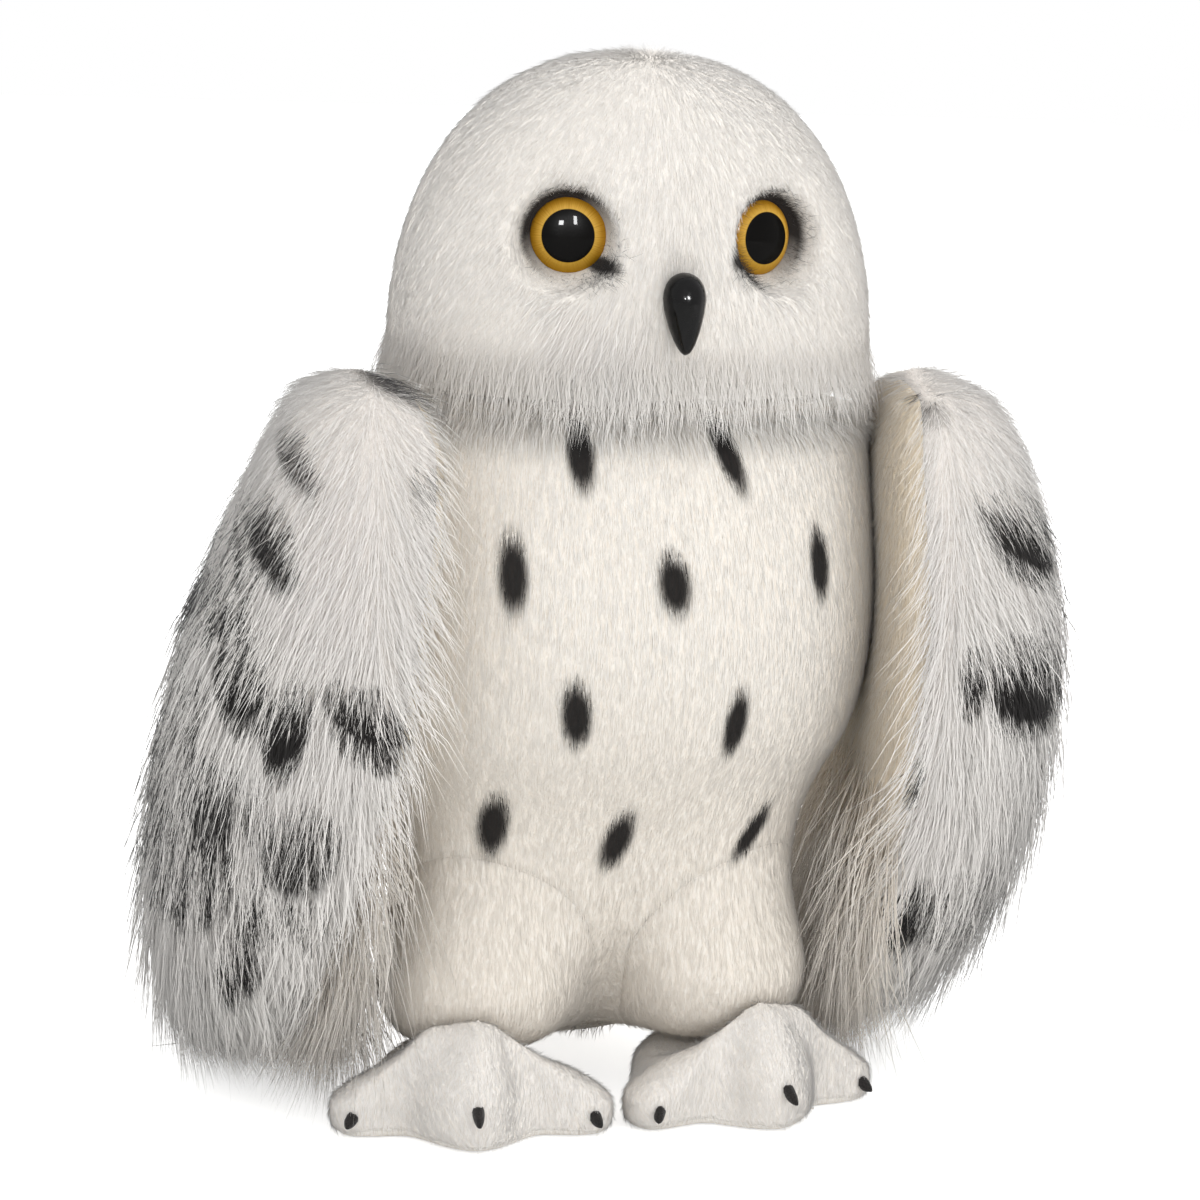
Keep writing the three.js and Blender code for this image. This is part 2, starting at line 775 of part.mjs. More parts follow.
function buildBody() {
  const group = new THREE.Group();
  const lining = grown(bodyForm(bodyLiningFacets), -plushThickness);
  const belowNeck = below(neckHeight - seamGap);
  const shell = solidOf(bodySkin).subtract(solidOf(lining)).intersect(belowNeck);
  add(group, 'belly_panel', shell.intersect(inFrontOf(-seamGap)), finish(0xe9e3d8, 0.95));
  add(group, 'back_panel', shell.intersect(behind(seamGap)), finish(0xe9e3d8, 0.95));

  const room = solidOf(grown(lining, -fillGap)).intersect(belowNeck);
  add(group, 'pellet_bag', pelletBag(0).intersect(room), finish(0xd8d4cc, 0.9));
  add(group, 'body_stuffing', room.subtract(pelletBag(clearance)), finish(0xf6f6f4, 1));
  return group;
}

function buildLeg(name, side) {
  const group = new THREE.Group();
  const lining = grown(legForm(side, legLiningFacets), -plushThickness);
  const cover = solidOf(legForm(side, legFacets)).subtract(solidOf(lining)).subtract(bodyCutter);
  const fill = solidOf(grown(lining, -fillGap)).subtract(bodyCutter);
  add(group, `leg_cover_${name}`, cover, finish(0xe9e3d8, 0.95));
  add(group, `leg_stuffing_${name}`, fill, finish(0xf6f6f4, 1));
  return group;
}

function buildFoot(name, side) {
  const group = new THREE.Group();
  const skin = footForm(side, footFacets, 0);
  const legGrown = (amount) => solidOf(grown(legForm(side, legFacets), amount));
  const aboveSole = above(soleThickness + clearance);
  const whole = solidOf(skin).intersect(above(0)).subtract(legGrown(clearance)).subtract(bodyCutter);
  const roomWithin = (wall) => solidOf(footForm(side, footLiningFacets, wall)).subtract(legGrown(wall));
  const room = roomWithin(plushThickness);
  const fill = roomWithin(plushThickness + fillGap);
  add(group, `foot_cover_${name}`, whole.subtract(room).intersect(aboveSole), finish(0xefeae2, 0.95));
  add(group, `sole_${name}`, whole.intersect(below(soleThickness)), finish(0xefeae2, 0.95));
  add(group, `foot_stuffing_${name}`, fill.intersect(aboveSole), finish(0xf6f6f4, 1));

  const footCutter = solidOf(grown(skin, clearance));
  for (const [toe, shares] of Object.entries(clawShares)) {
    const claw = solidOf(clawForm(side, shares)).subtract(footCutter);
    add(group, `claw_${toe}_${name}`, claw, finish(0x15140f, 0.9));
  }
  return group;
}

function buildWing(name, side) {
  const group = new THREE.Group();
  const bodyGrown = (amount) => solidOf(grown(bodySkin, amount));
  const roomWithin = (walls) => (
    solidOf(wingForm(side, wingRoomFacets, walls)).subtract(bodyGrown(clearance + walls.lining))
  );
  const pad = solidOf(wingForm(side, wingFacets, noWalls)).subtract(bodyCutter);
  const shell = pad.subtract(roomWithin(wingWalls));
  const fill = roomWithin(thicker(wingWalls));
  add(group, `wing_outer_${name}`, shell.intersect(wingOutside(side, seamGap)), finish(0xb9b6b2, 0.95));
  add(group, `wing_lining_${name}`, shell.subtract(wingOutside(side, -seamGap)), finish(0xe2d8c6, 0.95));
  add(group, `wing_stuffing_${name}`, fill, finish(0xf6f6f4, 1));
  return group;
}

function buildTail() {
  const group = new THREE.Group();
  const roomWithin = (walls) => solidOf(tailForm(tailRoomFacets, walls));
  const shell = solidOf(tailForm(tailFacets, noWalls)).subtract(bodyCutter).subtract(roomWithin(tailWalls));
  const fill = roomWithin(thicker(tailWalls)).subtract(bodyCutter);
  add(group, 'tail_outer', shell.intersect(tailBehind(seamGap)), finish(0xb9b6b2, 0.95));
  add(group, 'tail_lining', shell.subtract(tailBehind(-seamGap)), finish(0xe2d8c6, 0.95));
  add(group, 'tail_stuffing', fill, finish(0xf6f6f4, 1));
  return group;
}

owl.add(buildHead(), buildBody(), buildTail());
for (const [name, side] of sides) {
  owl.add(buildLeg(name, side), buildFoot(name, side), buildWing(name, side));
}

// The origin is the middle of the floor area that the whole owl covers
const reach = new THREE.Box3().setFromObject(owl);
const middle = reach.getCenter(new THREE.Vector3());
owl.position.set(-middle.x, -middle.y, -reach.min.z);

export default owl;
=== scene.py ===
import math

import bmesh
import bpy
import numpy as np
from mathutils import Matrix, Vector
from mathutils.bvhtree import BVHTree


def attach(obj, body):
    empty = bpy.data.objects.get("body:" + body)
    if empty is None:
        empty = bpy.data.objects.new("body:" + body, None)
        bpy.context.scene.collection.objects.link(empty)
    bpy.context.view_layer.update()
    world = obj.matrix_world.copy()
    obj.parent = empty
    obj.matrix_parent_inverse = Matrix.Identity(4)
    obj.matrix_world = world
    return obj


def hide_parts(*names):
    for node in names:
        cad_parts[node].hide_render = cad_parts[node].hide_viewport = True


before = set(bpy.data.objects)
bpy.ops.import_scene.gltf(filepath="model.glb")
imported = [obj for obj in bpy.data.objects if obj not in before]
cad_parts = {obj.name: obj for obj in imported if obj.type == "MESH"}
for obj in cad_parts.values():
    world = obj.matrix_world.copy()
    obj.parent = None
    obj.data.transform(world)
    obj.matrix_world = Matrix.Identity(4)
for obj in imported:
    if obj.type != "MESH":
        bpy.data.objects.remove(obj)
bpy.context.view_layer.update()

scene = bpy.context.scene
MM = 0.001
RAY = Vector((0.13, 0.07, 1.0)).normalized()
SIDES = {"left": 1, "right": -1}

# Places that the solids fix, in mm: the line of the seams, the eyes and the beak
SEAM_Y = -11.8
HEAD_X = 4.8
EYE_OUT = 25.6
EYE_Y = -34.7
EYE_Z = 237.0
EYE_YAW = math.radians(20)
EYE_RADIUS = 10.5
EYE_DOME = 5.5
EYE_RIM = 1.6
BEAK_SEAT = (4.8, -52.9, 218.5)

# The camera of the photograph, in mm and pixels of its 1200 px square
PHOTO_PIXELS = 1200
TARGET = (0.0, -9.35, 140.0)
TARGET_PIXEL = (603, 586)
MM_PER_PIXEL = 0.272
DISTANCE = 900.0
AZIMUTH = math.radians(-18)
ELEVATION = math.radians(10)
ROLL = math.radians(2)
SENSOR = 36.0


def paint(code):
    """A colour written as sRGB hex, in the linear light that shaders use."""
    parts = [int(code[i : i + 2], 16) / 255 for i in (1, 3, 5)]
    return tuple(c / 12.92 if c <= 0.04045 else ((c + 0.055) / 1.055) ** 2.4 for c in parts) + (1.0,)


def add(tree, kind, inputs=(), **settings):
    """One node with its settings; an input gets a value, or the socket or node that feeds it."""
    node = tree.nodes.new(kind)
    for key, value in settings.items():
        setattr(node, key, value)
    for key, value in inputs.items() if isinstance(inputs, dict) else enumerate(inputs):
        if isinstance(value, bpy.types.Node):
            value = value.outputs[0]
        if isinstance(value, bpy.types.NodeSocket):
            tree.links.new(value, node.inputs[key])
        else:
            node.inputs[key].default_value = value
    return node


# Finishes

# The mix node's sockets for colours, and how a value runs smoothly from one range to another
FACTOR, FIRST, SECOND, MIXED = 0, 6, 7, 2
SMOOTH = {"interpolation_type": "SMOOTHSTEP"}


def layered(tree, colour, layers):
    """Lays colours over one another: for each, what its share follows, from and to where, its most, its colour."""
    for value, low, high, most, code in layers:
        share = add(tree, "ShaderNodeMapRange", [value, low, high, 0.0, most], **SMOOTH)
        colours = {FACTOR: share, FIRST: colour, SECOND: paint(code)}
        colour = add(tree, "ShaderNodeMix", colours, data_type="RGBA").outputs[MIXED]
    return colour


def mottle(tree, size_mm, detail=3.0, rough=0.55, stretch=(1, 1, 1)):
    """Cloudy variation of a real size, on object coordinates."""
    here = add(tree, "ShaderNodeTexCoord").outputs["Object"]
    place = add(tree, "ShaderNodeMapping", {"Vector": here, "Scale": stretch})
    grain = {"Vector": place, "Scale": 1 / (size_mm * MM), "Detail": detail, "Roughness": rough}
    return add(tree, "ShaderNodeTexNoise", grain).outputs["Fac"]


def finish_of(name, **constants):
    """A new material with its shader; the constants are set on the shader's own sockets."""
    material = bpy.data.materials.new(name)
    material.use_nodes = True
    tree = material.node_tree
    shader = tree.nodes["Principled BSDF"]
    for key, value in constants.items():
        shader.inputs[key.replace("_", " ")].default_value = value
    return material, tree, shader


def surface(tree, shader, colour, height=None, depth_mm=0.0, strength=1.0):
    """Gives a finish its colour, and the relief that a height makes."""
    tree.links.new(colour, shader.inputs["Base Color"])
    if height is not None:
        bumps = {"Height": height, "Distance": depth_mm * MM, "Strength": strength}
        tree.links.new(add(tree, "ShaderNodeBump", bumps).outputs[0], shader.inputs["Normal"])


def sprayed_spots(tree, place, marks):
    """How dark the airbrush left a place, from marks given as centre, half sizes, lean and strength."""
    found = 0.0
    for x, y, z, wide, deep, high, lean, strength in marks:
        spot = {"Vector": place, "Location": (x * MM, y * MM, z * MM), "Rotation": (0, lean, 0),
                "Scale": (wide * MM, deep * MM, high * MM)}
        local = add(tree, "ShaderNodeMapping", spot, vector_type="TEXTURE")
        reach = add(tree, "ShaderNodeVectorMath", {0: local.outputs[0]}, operation="LENGTH").outputs["Value"]
        dark = add(tree, "ShaderNodeMapRange", [reach, 0.5, 1.5, strength, 0.0], **SMOOTH)
        found = add(tree, "ShaderNodeMath", [dark, found], operation="MAXIMUM")
    return found


# Soot round an eye, in mm from its axis: the black rim, the haze round it, and how far back it reaches
SOOT_RIM = 11.2, 13.2
SOOT_HAZE = 12.0, 18.0
SOOT_DEPTH = 14.0, 20.0
HAZE_STRENGTH = 0.06


def eye_soot_and_beak_shadow(tree, place):
    """Soot round each eye, darkest above and outside, and a faint shadow over the beak."""
    found = 0.0
    for side, way in SIDES.items():
        about_eye = {"Vector": place, "Location": tuple(eye_place(side) * MM),
                     "Rotation": (0, 0, way * EYE_YAW), "Scale": (MM, MM, MM)}
        local = add(tree, "ShaderNodeMapping", about_eye, vector_type="TEXTURE")
        across, depth, above = list(add(tree, "ShaderNodeSeparateXYZ", [local]).outputs)
        squares = [add(tree, "ShaderNodeMath", [part, part], operation="MULTIPLY") for part in (across, above)]
        square = add(tree, "ShaderNodeMath", squares, operation="ADD")
        radius = add(tree, "ShaderNodeMath", [square], operation="SQRT")
        upper = add(tree, "ShaderNodeMath", [above, 0.045], operation="MULTIPLY")
        outer = add(tree, "ShaderNodeMath", [across, 0.03 * way], operation="MULTIPLY")
        lift = add(tree, "ShaderNodeMath", [upper, outer], operation="ADD")
        weight = add(tree, "ShaderNodeMath", [lift, 0.66], operation="ADD", use_clamp=True)
        rings = [add(tree, "ShaderNodeMapRange", [radius, *reach, dark, 0.0], **SMOOTH)
                 for reach, dark in ((SOOT_RIM, 1.0), (SOOT_HAZE, HAZE_STRENGTH))]
        rings = [add(tree, "ShaderNodeMath", [ring, weight], operation="MULTIPLY") for ring in rings]
        in_front = add(tree, "ShaderNodeMapRange", [depth, *SOOT_DEPTH, 1.0, 0.0], **SMOOTH)
        ring = add(tree, "ShaderNodeMath", rings, operation="MAXIMUM")
        soot = add(tree, "ShaderNodeMath", [in_front, ring], operation="MULTIPLY")
        found = add(tree, "ShaderNodeMath", [found, soot], operation="MAXIMUM")
    return add(tree, "ShaderNodeMath", [found, sprayed_spots(tree, place, FACE_MARKS)], operation="MAXIMUM")


def wing_streaks(tree, place):
    """Dark streaks that run down with the hair, in the zones where the airbrush passed over long strands."""
    thin = add(tree, "ShaderNodeMapping", {"Vector": place, "Scale": (1.0, 1.0, 0.14)})
    fine = {"Vector": thin, "Scale": 1 / (5 * MM), "Detail": 4.0, "Roughness": 0.7}
    broad = {"Vector": place, "Scale": 1 / (26 * MM), "Detail": 1.0}
    grain, patch = (add(tree, "ShaderNodeTexNoise", noise).outputs["Fac"] for noise in (fine, broad))
    streak = add(tree, "ShaderNodeMapRange", [grain, 0.47, 0.56], **SMOOTH)
    patches = add(tree, "ShaderNodeMapRange", [patch, 0.38, 0.56], **SMOOTH)
    broken = add(tree, "ShaderNodeMath", [streak, patches], operation="MULTIPLY")
    return add(tree, "ShaderNodeMath", [broken, sprayed_spots(tree, place, STREAK_ZONES)], operation="MULTIPLY")


# Where a fibre of a short pile, or a long hair, turns dark: the share of its tint, and how soft the change is
PILE_EDGE = 0.2, 0.75
FUR_EDGE = 0.72, 0.28
FUR_LOOSE = 4.0


def sprayed(tree, colour, stain, marks, loose=0.0):
    """Lays the airbrushed marks over a colour; on a pile each fibre takes them a little higher or lower."""
    place = add(tree, "ShaderNodeTexCoord").outputs["Object"]
    if loose:
        tint = add(tree, "ShaderNodeAttribute", attribute_name="tint").outputs["Fac"]
        slip = add(tree, "ShaderNodeMapRange", [tint, 0.0, 1.0, -loose * MM, loose * MM], **SMOOTH)
        shift = add(tree, "ShaderNodeCombineXYZ", {2: slip})
        place = add(tree, "ShaderNodeVectorMath", [place, shift], operation="ADD")
    found = marks(tree, place) if callable(marks) else sprayed_spots(tree, place, marks)
    if loose:
        share, soft = FUR_EDGE if loose > FUR_LOOSE else PILE_EDGE
        least = add(tree, "ShaderNodeMath", [tint, share], operation="MULTIPLY")
        full = add(tree, "ShaderNodeMath", [least, soft], operation="ADD")
        found = add(tree, "ShaderNodeMapRange", [found, least, full], **SMOOTH)
    colours = {FACTOR: found, FIRST: colour, SECOND: paint(stain)}
    return add(tree, "ShaderNodeMix", colours, data_type="RGBA").outputs[MIXED]


# Painted shade: the height in mm below which the pile grows creamier towards the bottom, and how far it does
PAINTED_SHADE_TOP = 150
PAINTED_SHADE_SHARE = 0.75


def pile_finish(name, tip, root, marks=(), stain="#262220", vary=0.05, loose=2.0, low=None):
    """Brushed acrylic pile: pale tips over slightly deeper roots, the deeper roots being painted shade within the
    pile, each fibre a little its own tone.
    """
    material, tree, shader = finish_of(
        name, Roughness=0.8, Specular_IOR_Level=0.2, Sheen_Weight=0.15, Sheen_Roughness=0.55)
    along, tint = (add(tree, "ShaderNodeAttribute", attribute_name=mark).outputs["Fac"]
                   for mark in ("along", "tint"))
    # Painted shade: the root colour, deeper than the tip, stands for the shade deep in the pile
    fibre = layered(tree, paint(root), [(along, 0.0, 0.6, 1.0, tip)])
    shade = add(tree, "ShaderNodeMapRange", [tint, 0.0, 1.0, 1 - 2 * vary, 1.0], **SMOOTH)
    colours = {FACTOR: 1.0, FIRST: fibre, SECOND: add(tree, "ShaderNodeCombineColor", [shade] * 3)}
    fibre = add(tree, "ShaderNodeMix", colours, data_type="RGBA", blend_type="MULTIPLY").outputs[MIXED]
    layers = [(mottle(tree, 26), 0.35, 0.65, 0.3, root)]
    # Painted shade: the low colour makes the pile creamier towards the bottom of the body
    if low:
        here = add(tree, "ShaderNodeTexCoord").outputs["Object"]
        height = add(tree, "ShaderNodeSeparateXYZ", [here]).outputs[2]
        layers.append((height, PAINTED_SHADE_TOP * MM, 0.25 * PAINTED_SHADE_TOP * MM, PAINTED_SHADE_SHARE, low))
    surface(tree, shader, sprayed(tree, layered(tree, fibre, layers), stain, marks, loose))
    return material


def backing_finish(name, cloth, shadow, marks=(), stain="#262220"):
    """Knitted backing cloth under the pile: seen only as a soft, slightly deeper ground between fibres."""
    material, tree, shader = finish_of(
        name, Roughness=0.92, Specular_IOR_Level=0.15, Sheen_Weight=0.1, Sheen_Roughness=0.4)
    nap = mottle(tree, 0.8, 4.0, stretch=(1, 1, 0.35))
    layers = [(nap, 0.3, 0.7, 1.0, cloth), (mottle(tree, 24), 0.35, 0.65, 0.25, shadow)]
    ground = layered(tree, paint(shadow), layers)
    surface(tree, shader, sprayed(tree, ground, stain, marks), nap, 0.4)
    return material


def eye_finish():
    """Acrylic safety eye, painted behind its clear dome: amber iris with fine rays, black pupil, wet gloss."""
    material, tree, shader = finish_of(
        "painted_acrylic_eye", Roughness=0.35, Specular_IOR_Level=0.03,
        Coat_Weight=0.14, Coat_Roughness=0.02, Coat_IOR=1.49)
    ring, ray = (add(tree, "ShaderNodeAttribute", attribute_name=mark).outputs["Fac"]
                 for mark in ("ring", "ray"))
    thin = {"W": ray, "Scale": 70.0, "Detail": 3.0}
    rays = add(tree, "ShaderNodeTexNoise", thin, noise_dimensions="1D").outputs["Fac"]
    # Painted shade: the third layer makes the lower part of the iris darker and more olive
    iris = layered(tree, paint("#dcae4c"), [
        (ring, 0.66, 0.9, 1.0, "#c08a24"), (rays, 0.4, 0.75, 0.4, "#a06a12"), (ray, 0.6, 0.1, 0.5, "#94700f"),
        (ring, 0.9, 1.0, 1.0, "#3c2809"), (ring, 0.665, 0.645, 1.0, "#040302")])
    surface(tree, shader, iris, rays, 0.04, 0.3)
    return material


def beak_finish():
    """Injection-moulded ABS, glossy black, with the faint flow ripple and scuffs of a moulded part."""
    material, tree, shader = finish_of(
        "moulded_black_abs", IOR=1.53, Specular_IOR_Level=0.1, Coat_Weight=0.22, Coat_Roughness=0.05)
    flow = mottle(tree, 5.0, 3.0, stretch=(1, 1, 0.45))
    scuffs = add(tree, "ShaderNodeMapRange", [mottle(tree, 1.6), 0.3, 0.75, 0.14, 0.3], **SMOOTH)
    tree.links.new(scuffs.outputs[0], shader.inputs["Roughness"])
    black = layered(tree, paint("#060606"), [(flow, 0.35, 0.7, 1.0, "#100f10")])
    surface(tree, shader, black, flow, 0.35, 0.7)
    return material


def felt_finish():
    """Black wool felt, cut into small claws: matt, with short loose fibres."""
    material, tree, shader = finish_of(
        "black_wool_felt", Roughness=0.95, Sheen_Weight=0.35, Sheen_Roughness=0.4, Specular_IOR_Level=0.2)
    fibres = mottle(tree, 0.35, 5.0, 0.7)
    wool = layered(tree, paint("#0d0c0c"), [(fibres, 0.3, 0.7, 1.0, "#302c2a")])
    surface(tree, shader, wool, fibres, 0.25)
    return material


def hidden_finish(name, low, high, size_mm, rough, depth_mm, **more):
    """The finishes inside the toy, each a cloudy mix of two near shades with its own relief."""
    material, tree, shader = finish_of(name, Roughness=rough, **more)
    cloud = mottle(tree, size_mm, 4.0)
    surface(tree, shader, layered(tree, paint(low), [(cloud, 0.3, 0.7, 1.0, high)]), cloud, depth_mm)
    return material


BELLY_SPOTS = [
    (-20.0, -48.9, 181.4, 3.6, 20, 9.0, 0.0, 1.0),
    (19.6, -49.4, 181.5, 3.2, 20, 10.5, -0.38, 1.0),
    (-38.6, -54.5, 151.5, 3.6, 20, 10.0, 0.0, 1.0),
    (2.3, -62.8, 149.5, 4.4, 20, 7.8, -0.15, 1.0),
    (45.6, -53.6, 152.8, 3.0, 20, 9.6, -0.08, 1.0),
    (-22.3, -60.3, 115.4, 3.9, 20, 8.8, -0.12, 1.0),
    (21.5, -60.4, 111.8, 3.3, 20, 9.4, 0.1, 1.0),
    (-38.4, -41.4, 82.5, 3.9, 20, 8.8, 0.0, 1.0),
    (-5.2, -45.0, 77.9, 4.0, 20, 8.8, 0.2, 1.0),
    (34.5, -39.0, 77.4, 2.8, 20, 9.0, 0.55, 1.0),
]
WING_MARKS = [
    (-65.0, -34.0, 199.0, 12.0, 24, 6.0, 0.35, 0.9),
    (-95.0, -50.0, 178.0, 4.0, 12, 17.0, -0.42, 0.6),
    (-102.0, -53.9, 158.0, 4.6, 12, 16.0, -0.35, 0.8),
    (-64.3, -66.2, 171.9, 6.0, 9, 5.0, 0.0, 0.35),
    (-109.0, -54.0, 121.0, 6.0, 12, 8.0, 0.0, 0.9),
    (-99.0, -61.0, 112.5, 5.5, 12, 10.0, 0.3, 1.0),
    (-79.0, -66.6, 114.0, 12.0, 14, 5.5, 0.5, 1.0),
    (-93.0, -53.0, 78.0, 11.0, 16, 13.0, 0.0, 0.62),
    (-112.0, -42.0, 90.0, 9.0, 16, 12.0, 0.0, 0.7),
    (-104.0, -30.0, 42.0, 6.0, 14, 14.0, 0.0, 0.65),
    (-114.0, -10.0, 140.0, 20.0, 24, 9.0, 0.2, 0.8),
    (-112.0, 16.0, 100.0, 22.0, 22, 10.0, -0.2, 0.8),
    (-108.0, 20.0, 58.0, 24.0, 24, 10.0, 0.1, 0.8),
    (74.0, -52.0, 191.6, 6.0, 9, 4.0, 0.0, 0.5),
    (99.0, -60.0, 158.0, 16.0, 16, 7.5, 0.5, 0.95),
    (101.0, -58.0, 118.0, 16.0, 16, 11.0, 0.35, 1.0),
    (84.6, -67.5, 120.7, 4.0, 9, 5.5, 0.0, 0.95),
    (71.5, -59.2, 91.4, 2.8, 9, 5.5, 0.0, 0.75),
    (81.0, -45.0, 46.0, 6.0, 20, 11.0, 0.0, 0.9),
    (114.0, 12.0, 140.0, 20.0, 24, 9.0, -0.2, 0.8),
    (112.0, 18.0, 92.0, 22.0, 22, 10.0, 0.2, 0.8),
    (108.0, 20.0, 52.0, 24.0, 24, 10.0, -0.1, 0.8),
]
STREAK_ZONES = [
    (-116.0, -30.0, 150.0, 13.0, 50, 34.0, 0.0, 1.0),
    (-118.0, -20.0, 84.0, 16.0, 60, 30.0, 0.0, 1.0),
    (-96.0, -52.0, 58.0, 13.0, 26, 26.0, 0.0, 0.95),
    (-110.0, 22.0, 70.0, 26.0, 22, 42.0, 0.0, 0.8),
    (116.0, -30.0, 130.0, 9.0, 50, 40.0, 0.0, 0.6),
    (110.0, 22.0, 70.0, 26.0, 22, 42.0, 0.0, 0.8),
    (96.0, -40.0, 44.0, 16.0, 20, 16.0, 0.0, 0.6),
]
# The first mark is a painted shadow over the beak
FACE_MARKS = [
    (4.8, -52.0, 229.0, 5.5, 14, 5.5, 0.0, 0.22),
    (-14.4, -42.0, 230.0, 4.2, 12, 2.4, 0.4, 1.0),
    (21.2, -42.0, 231.4, 2.6, 12, 3.6, -0.3, 1.0),
]
TAIL_MARKS = [(-1.5, 60.0, 47.0, 26.0, 20, 4.0, 0.0, 0.85), (-1.5, 66.0, 24.0, 26.0, 20, 4.5, 0.0, 0.85)]


def eye_place(side):
    return np.array([HEAD_X + SIDES[side] * EYE_OUT, EYE_Y, EYE_Z])


def eye_way(side):
    return np.array([SIDES[side] * math.sin(EYE_YAW), -math.cos(EYE_YAW), 0.0])


def long_pile_marks(tree, place):
    spots = sprayed_spots(tree, place, WING_MARKS + TAIL_MARKS)
    return add(tree, "ShaderNodeMath", [spots, wing_streaks(tree, place)], operation="MAXIMUM")


head_pile = pile_finish("white_plush_pile", "#f8f5f1", "#f3ede5", eye_soot_and_beak_shadow, "#1a1512", 0.025, loose=1.2)
# The low colour is painted warm shade, creamier towards the bottom of the body
body_pile = pile_finish("ivory_plush_pile", "#f8f5f0", "#f3ede4", BELLY_SPOTS, "#151210", 0.025, low="#e9e0d3")
foot_pile = pile_finish("white_velboa_pile", "#f9f7f4", "#f5f0ea", vary=0.02)
lining_pile = pile_finish("cream_lining_pile", "#f4ecdf", "#e6d8c2", vary=0.03)
wing_pile = pile_finish("long_white_faux_fur", "#f9f6f2", "#f4efea", long_pile_marks, "#1c1918", 0.06, 6.0)
fringe_pile = pile_finish("long_cream_faux_fur", "#f5efe7", "#e9dfd0", vary=0.07)
lash_pile = pile_finish("airbrushed_black_fur", "#2a2420", "#15110f", vary=0.2)
head_cloth = backing_finish("white_knit_backing", "#f4f0ea", "#ebe4db", eye_soot_and_beak_shadow)
body_cloth = backing_finish("ivory_knit_backing", "#f2ede5", "#e8dfd3", BELLY_SPOTS)
foot_cloth = backing_finish("white_velboa_backing", "#f6f2ed", "#ece5dc")
lining_cloth = backing_finish("cream_lining_backing", "#ebdfcc", "#dac9ae")
wing_cloth = backing_finish("grey_knit_backing", "#eee8e2", "#dcd4cc", long_pile_marks)
sole_cloth = backing_finish("white_tricot_sole", "#f3efe9", "#e2dbd1")
eye_acrylic = eye_finish()
beak_abs = beak_finish()
claw_felt = felt_finish()
fibre_fill = hidden_finish("polyester_fibrefill", "#dcd8d2", "#f7f5f2", 4.0, 0.95, 1.5, Sheen_Weight=0.3)
pellet_cotton = hidden_finish("pellet_bag_cotton", "#c9c0ae", "#e2dbcb", 1.2, 0.9, 0.3, Sheen_Weight=0.2)
washer_nylon = hidden_finish("natural_nylon_washer", "#d5d2c6", "#e9e6da", 3.0, 0.4, 0.05, IOR=1.53)


# Meshes

def lone(name, mesh):
    piece = bpy.data.objects.new(name, mesh)
    scene.collection.objects.link(piece)
    return piece


def settled(piece):
    """The piece with its modifiers turned into plain mesh."""
    seen = piece.evaluated_get(bpy.context.evaluated_depsgraph_get())
    mesh = bpy.data.meshes.new_from_object(seen)
    piece.modifiers.clear()
    old = piece.data
    piece.data = mesh
    bpy.data.meshes.remove(old)
    mesh.name = piece.name
    return piece


def points_of(mesh, kind="co"):
    values = np.empty(len(mesh.vertices) * 3)
    mesh.vertices.foreach_get(kind, values)
    return values.reshape(-1, 3)


def normals_of(mesh):
    return points_of(mesh, "normal")


def unit(vectors, least=1e-6):
    """Vectors of length one; those shorter than the least are only divided by it."""
    return vectors / np.maximum(np.linalg.norm(vectors, axis=1, keepdims=True), least)


def move_points(mesh, co):
    mesh.vertices.foreach_set("co", np.ascontiguousarray(co).ravel())
    mesh.update()


def note(mesh, name, values, kind="FLOAT"):
    old = mesh.attributes.get(name)
    if old:
        mesh.attributes.remove(old)
    attribute = mesh.attributes.new(name, kind, "POINT")
    key = "vector" if kind == "FLOAT_VECTOR" else "value"
    attribute.data.foreach_set(key, np.ascontiguousarray(values, dtype=np.float32).ravel())


def read(mesh, name, width=1):
    attribute = mesh.attributes[name]
    kind = np.int32 if attribute.data_type == "INT" else np.float32
    values = np.empty(len(mesh.vertices) * width, kind)
    attribute.data.foreach_get("vector" if width == 3 else "value", values)
    return values.reshape(-1, 3) if width == 3 else values


def rounded(mesh, rounds, freedom=None):
    """Evens out the facets: each point moves towards the middle of its neighbours."""
    co = points_of(mesh)
    ends = np.empty(len(mesh.edges) * 2, np.int32)
    mesh.edges.foreach_get("vertices", ends)
    a, b = ends.reshape(-1, 2).T
    count = np.bincount(ends, minlength=len(co))[:, None]
    give = 0.5 if freedom is None else 0.5 * freedom(co / MM)[:, None]
    for _ in range(rounds):
        total = np.zeros_like(co)
        for axis in range(3):
            total[:, axis] = (np.bincount(a, co[b, axis], len(co)) + np.bincount(b, co[a, axis], len(co)))
        co += give * (total / count - co)
    move_points(mesh, co)


def merged_nodes(nodes):
    made = bmesh.new()
    for node in nodes:
        made.from_mesh(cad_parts[node].data)
    bmesh.ops.remove_doubles(made, verts=made.verts, dist=0.01 * MM)
    return made


def form_of(name, nodes, voxel_mm, rounds, freedom=None):
    """The closed outer form of a cover and its filling, finer and rounder than the solids' facets."""
    made = merged_nodes(nodes)
    mesh = bpy.data.meshes.new(name)
    made.to_mesh(mesh)
    made.free()
    piece = lone(name, mesh)
    voxels = piece.modifiers.new("voxels", "REMESH")
    voxels.mode = "VOXEL"
    voxels.voxel_size = voxel_mm * MM
    settled(piece)
    rounded(piece.data, rounds, freedom)
    return piece


def tree_of(nodes):
    made = merged_nodes(nodes)
    bmesh.ops.triangulate(made, faces=made.faces)
    tree = BVHTree.FromBMesh(made)
    made.free()
    return tree


VOTES = 6
SEAM_ROUNDS = 16


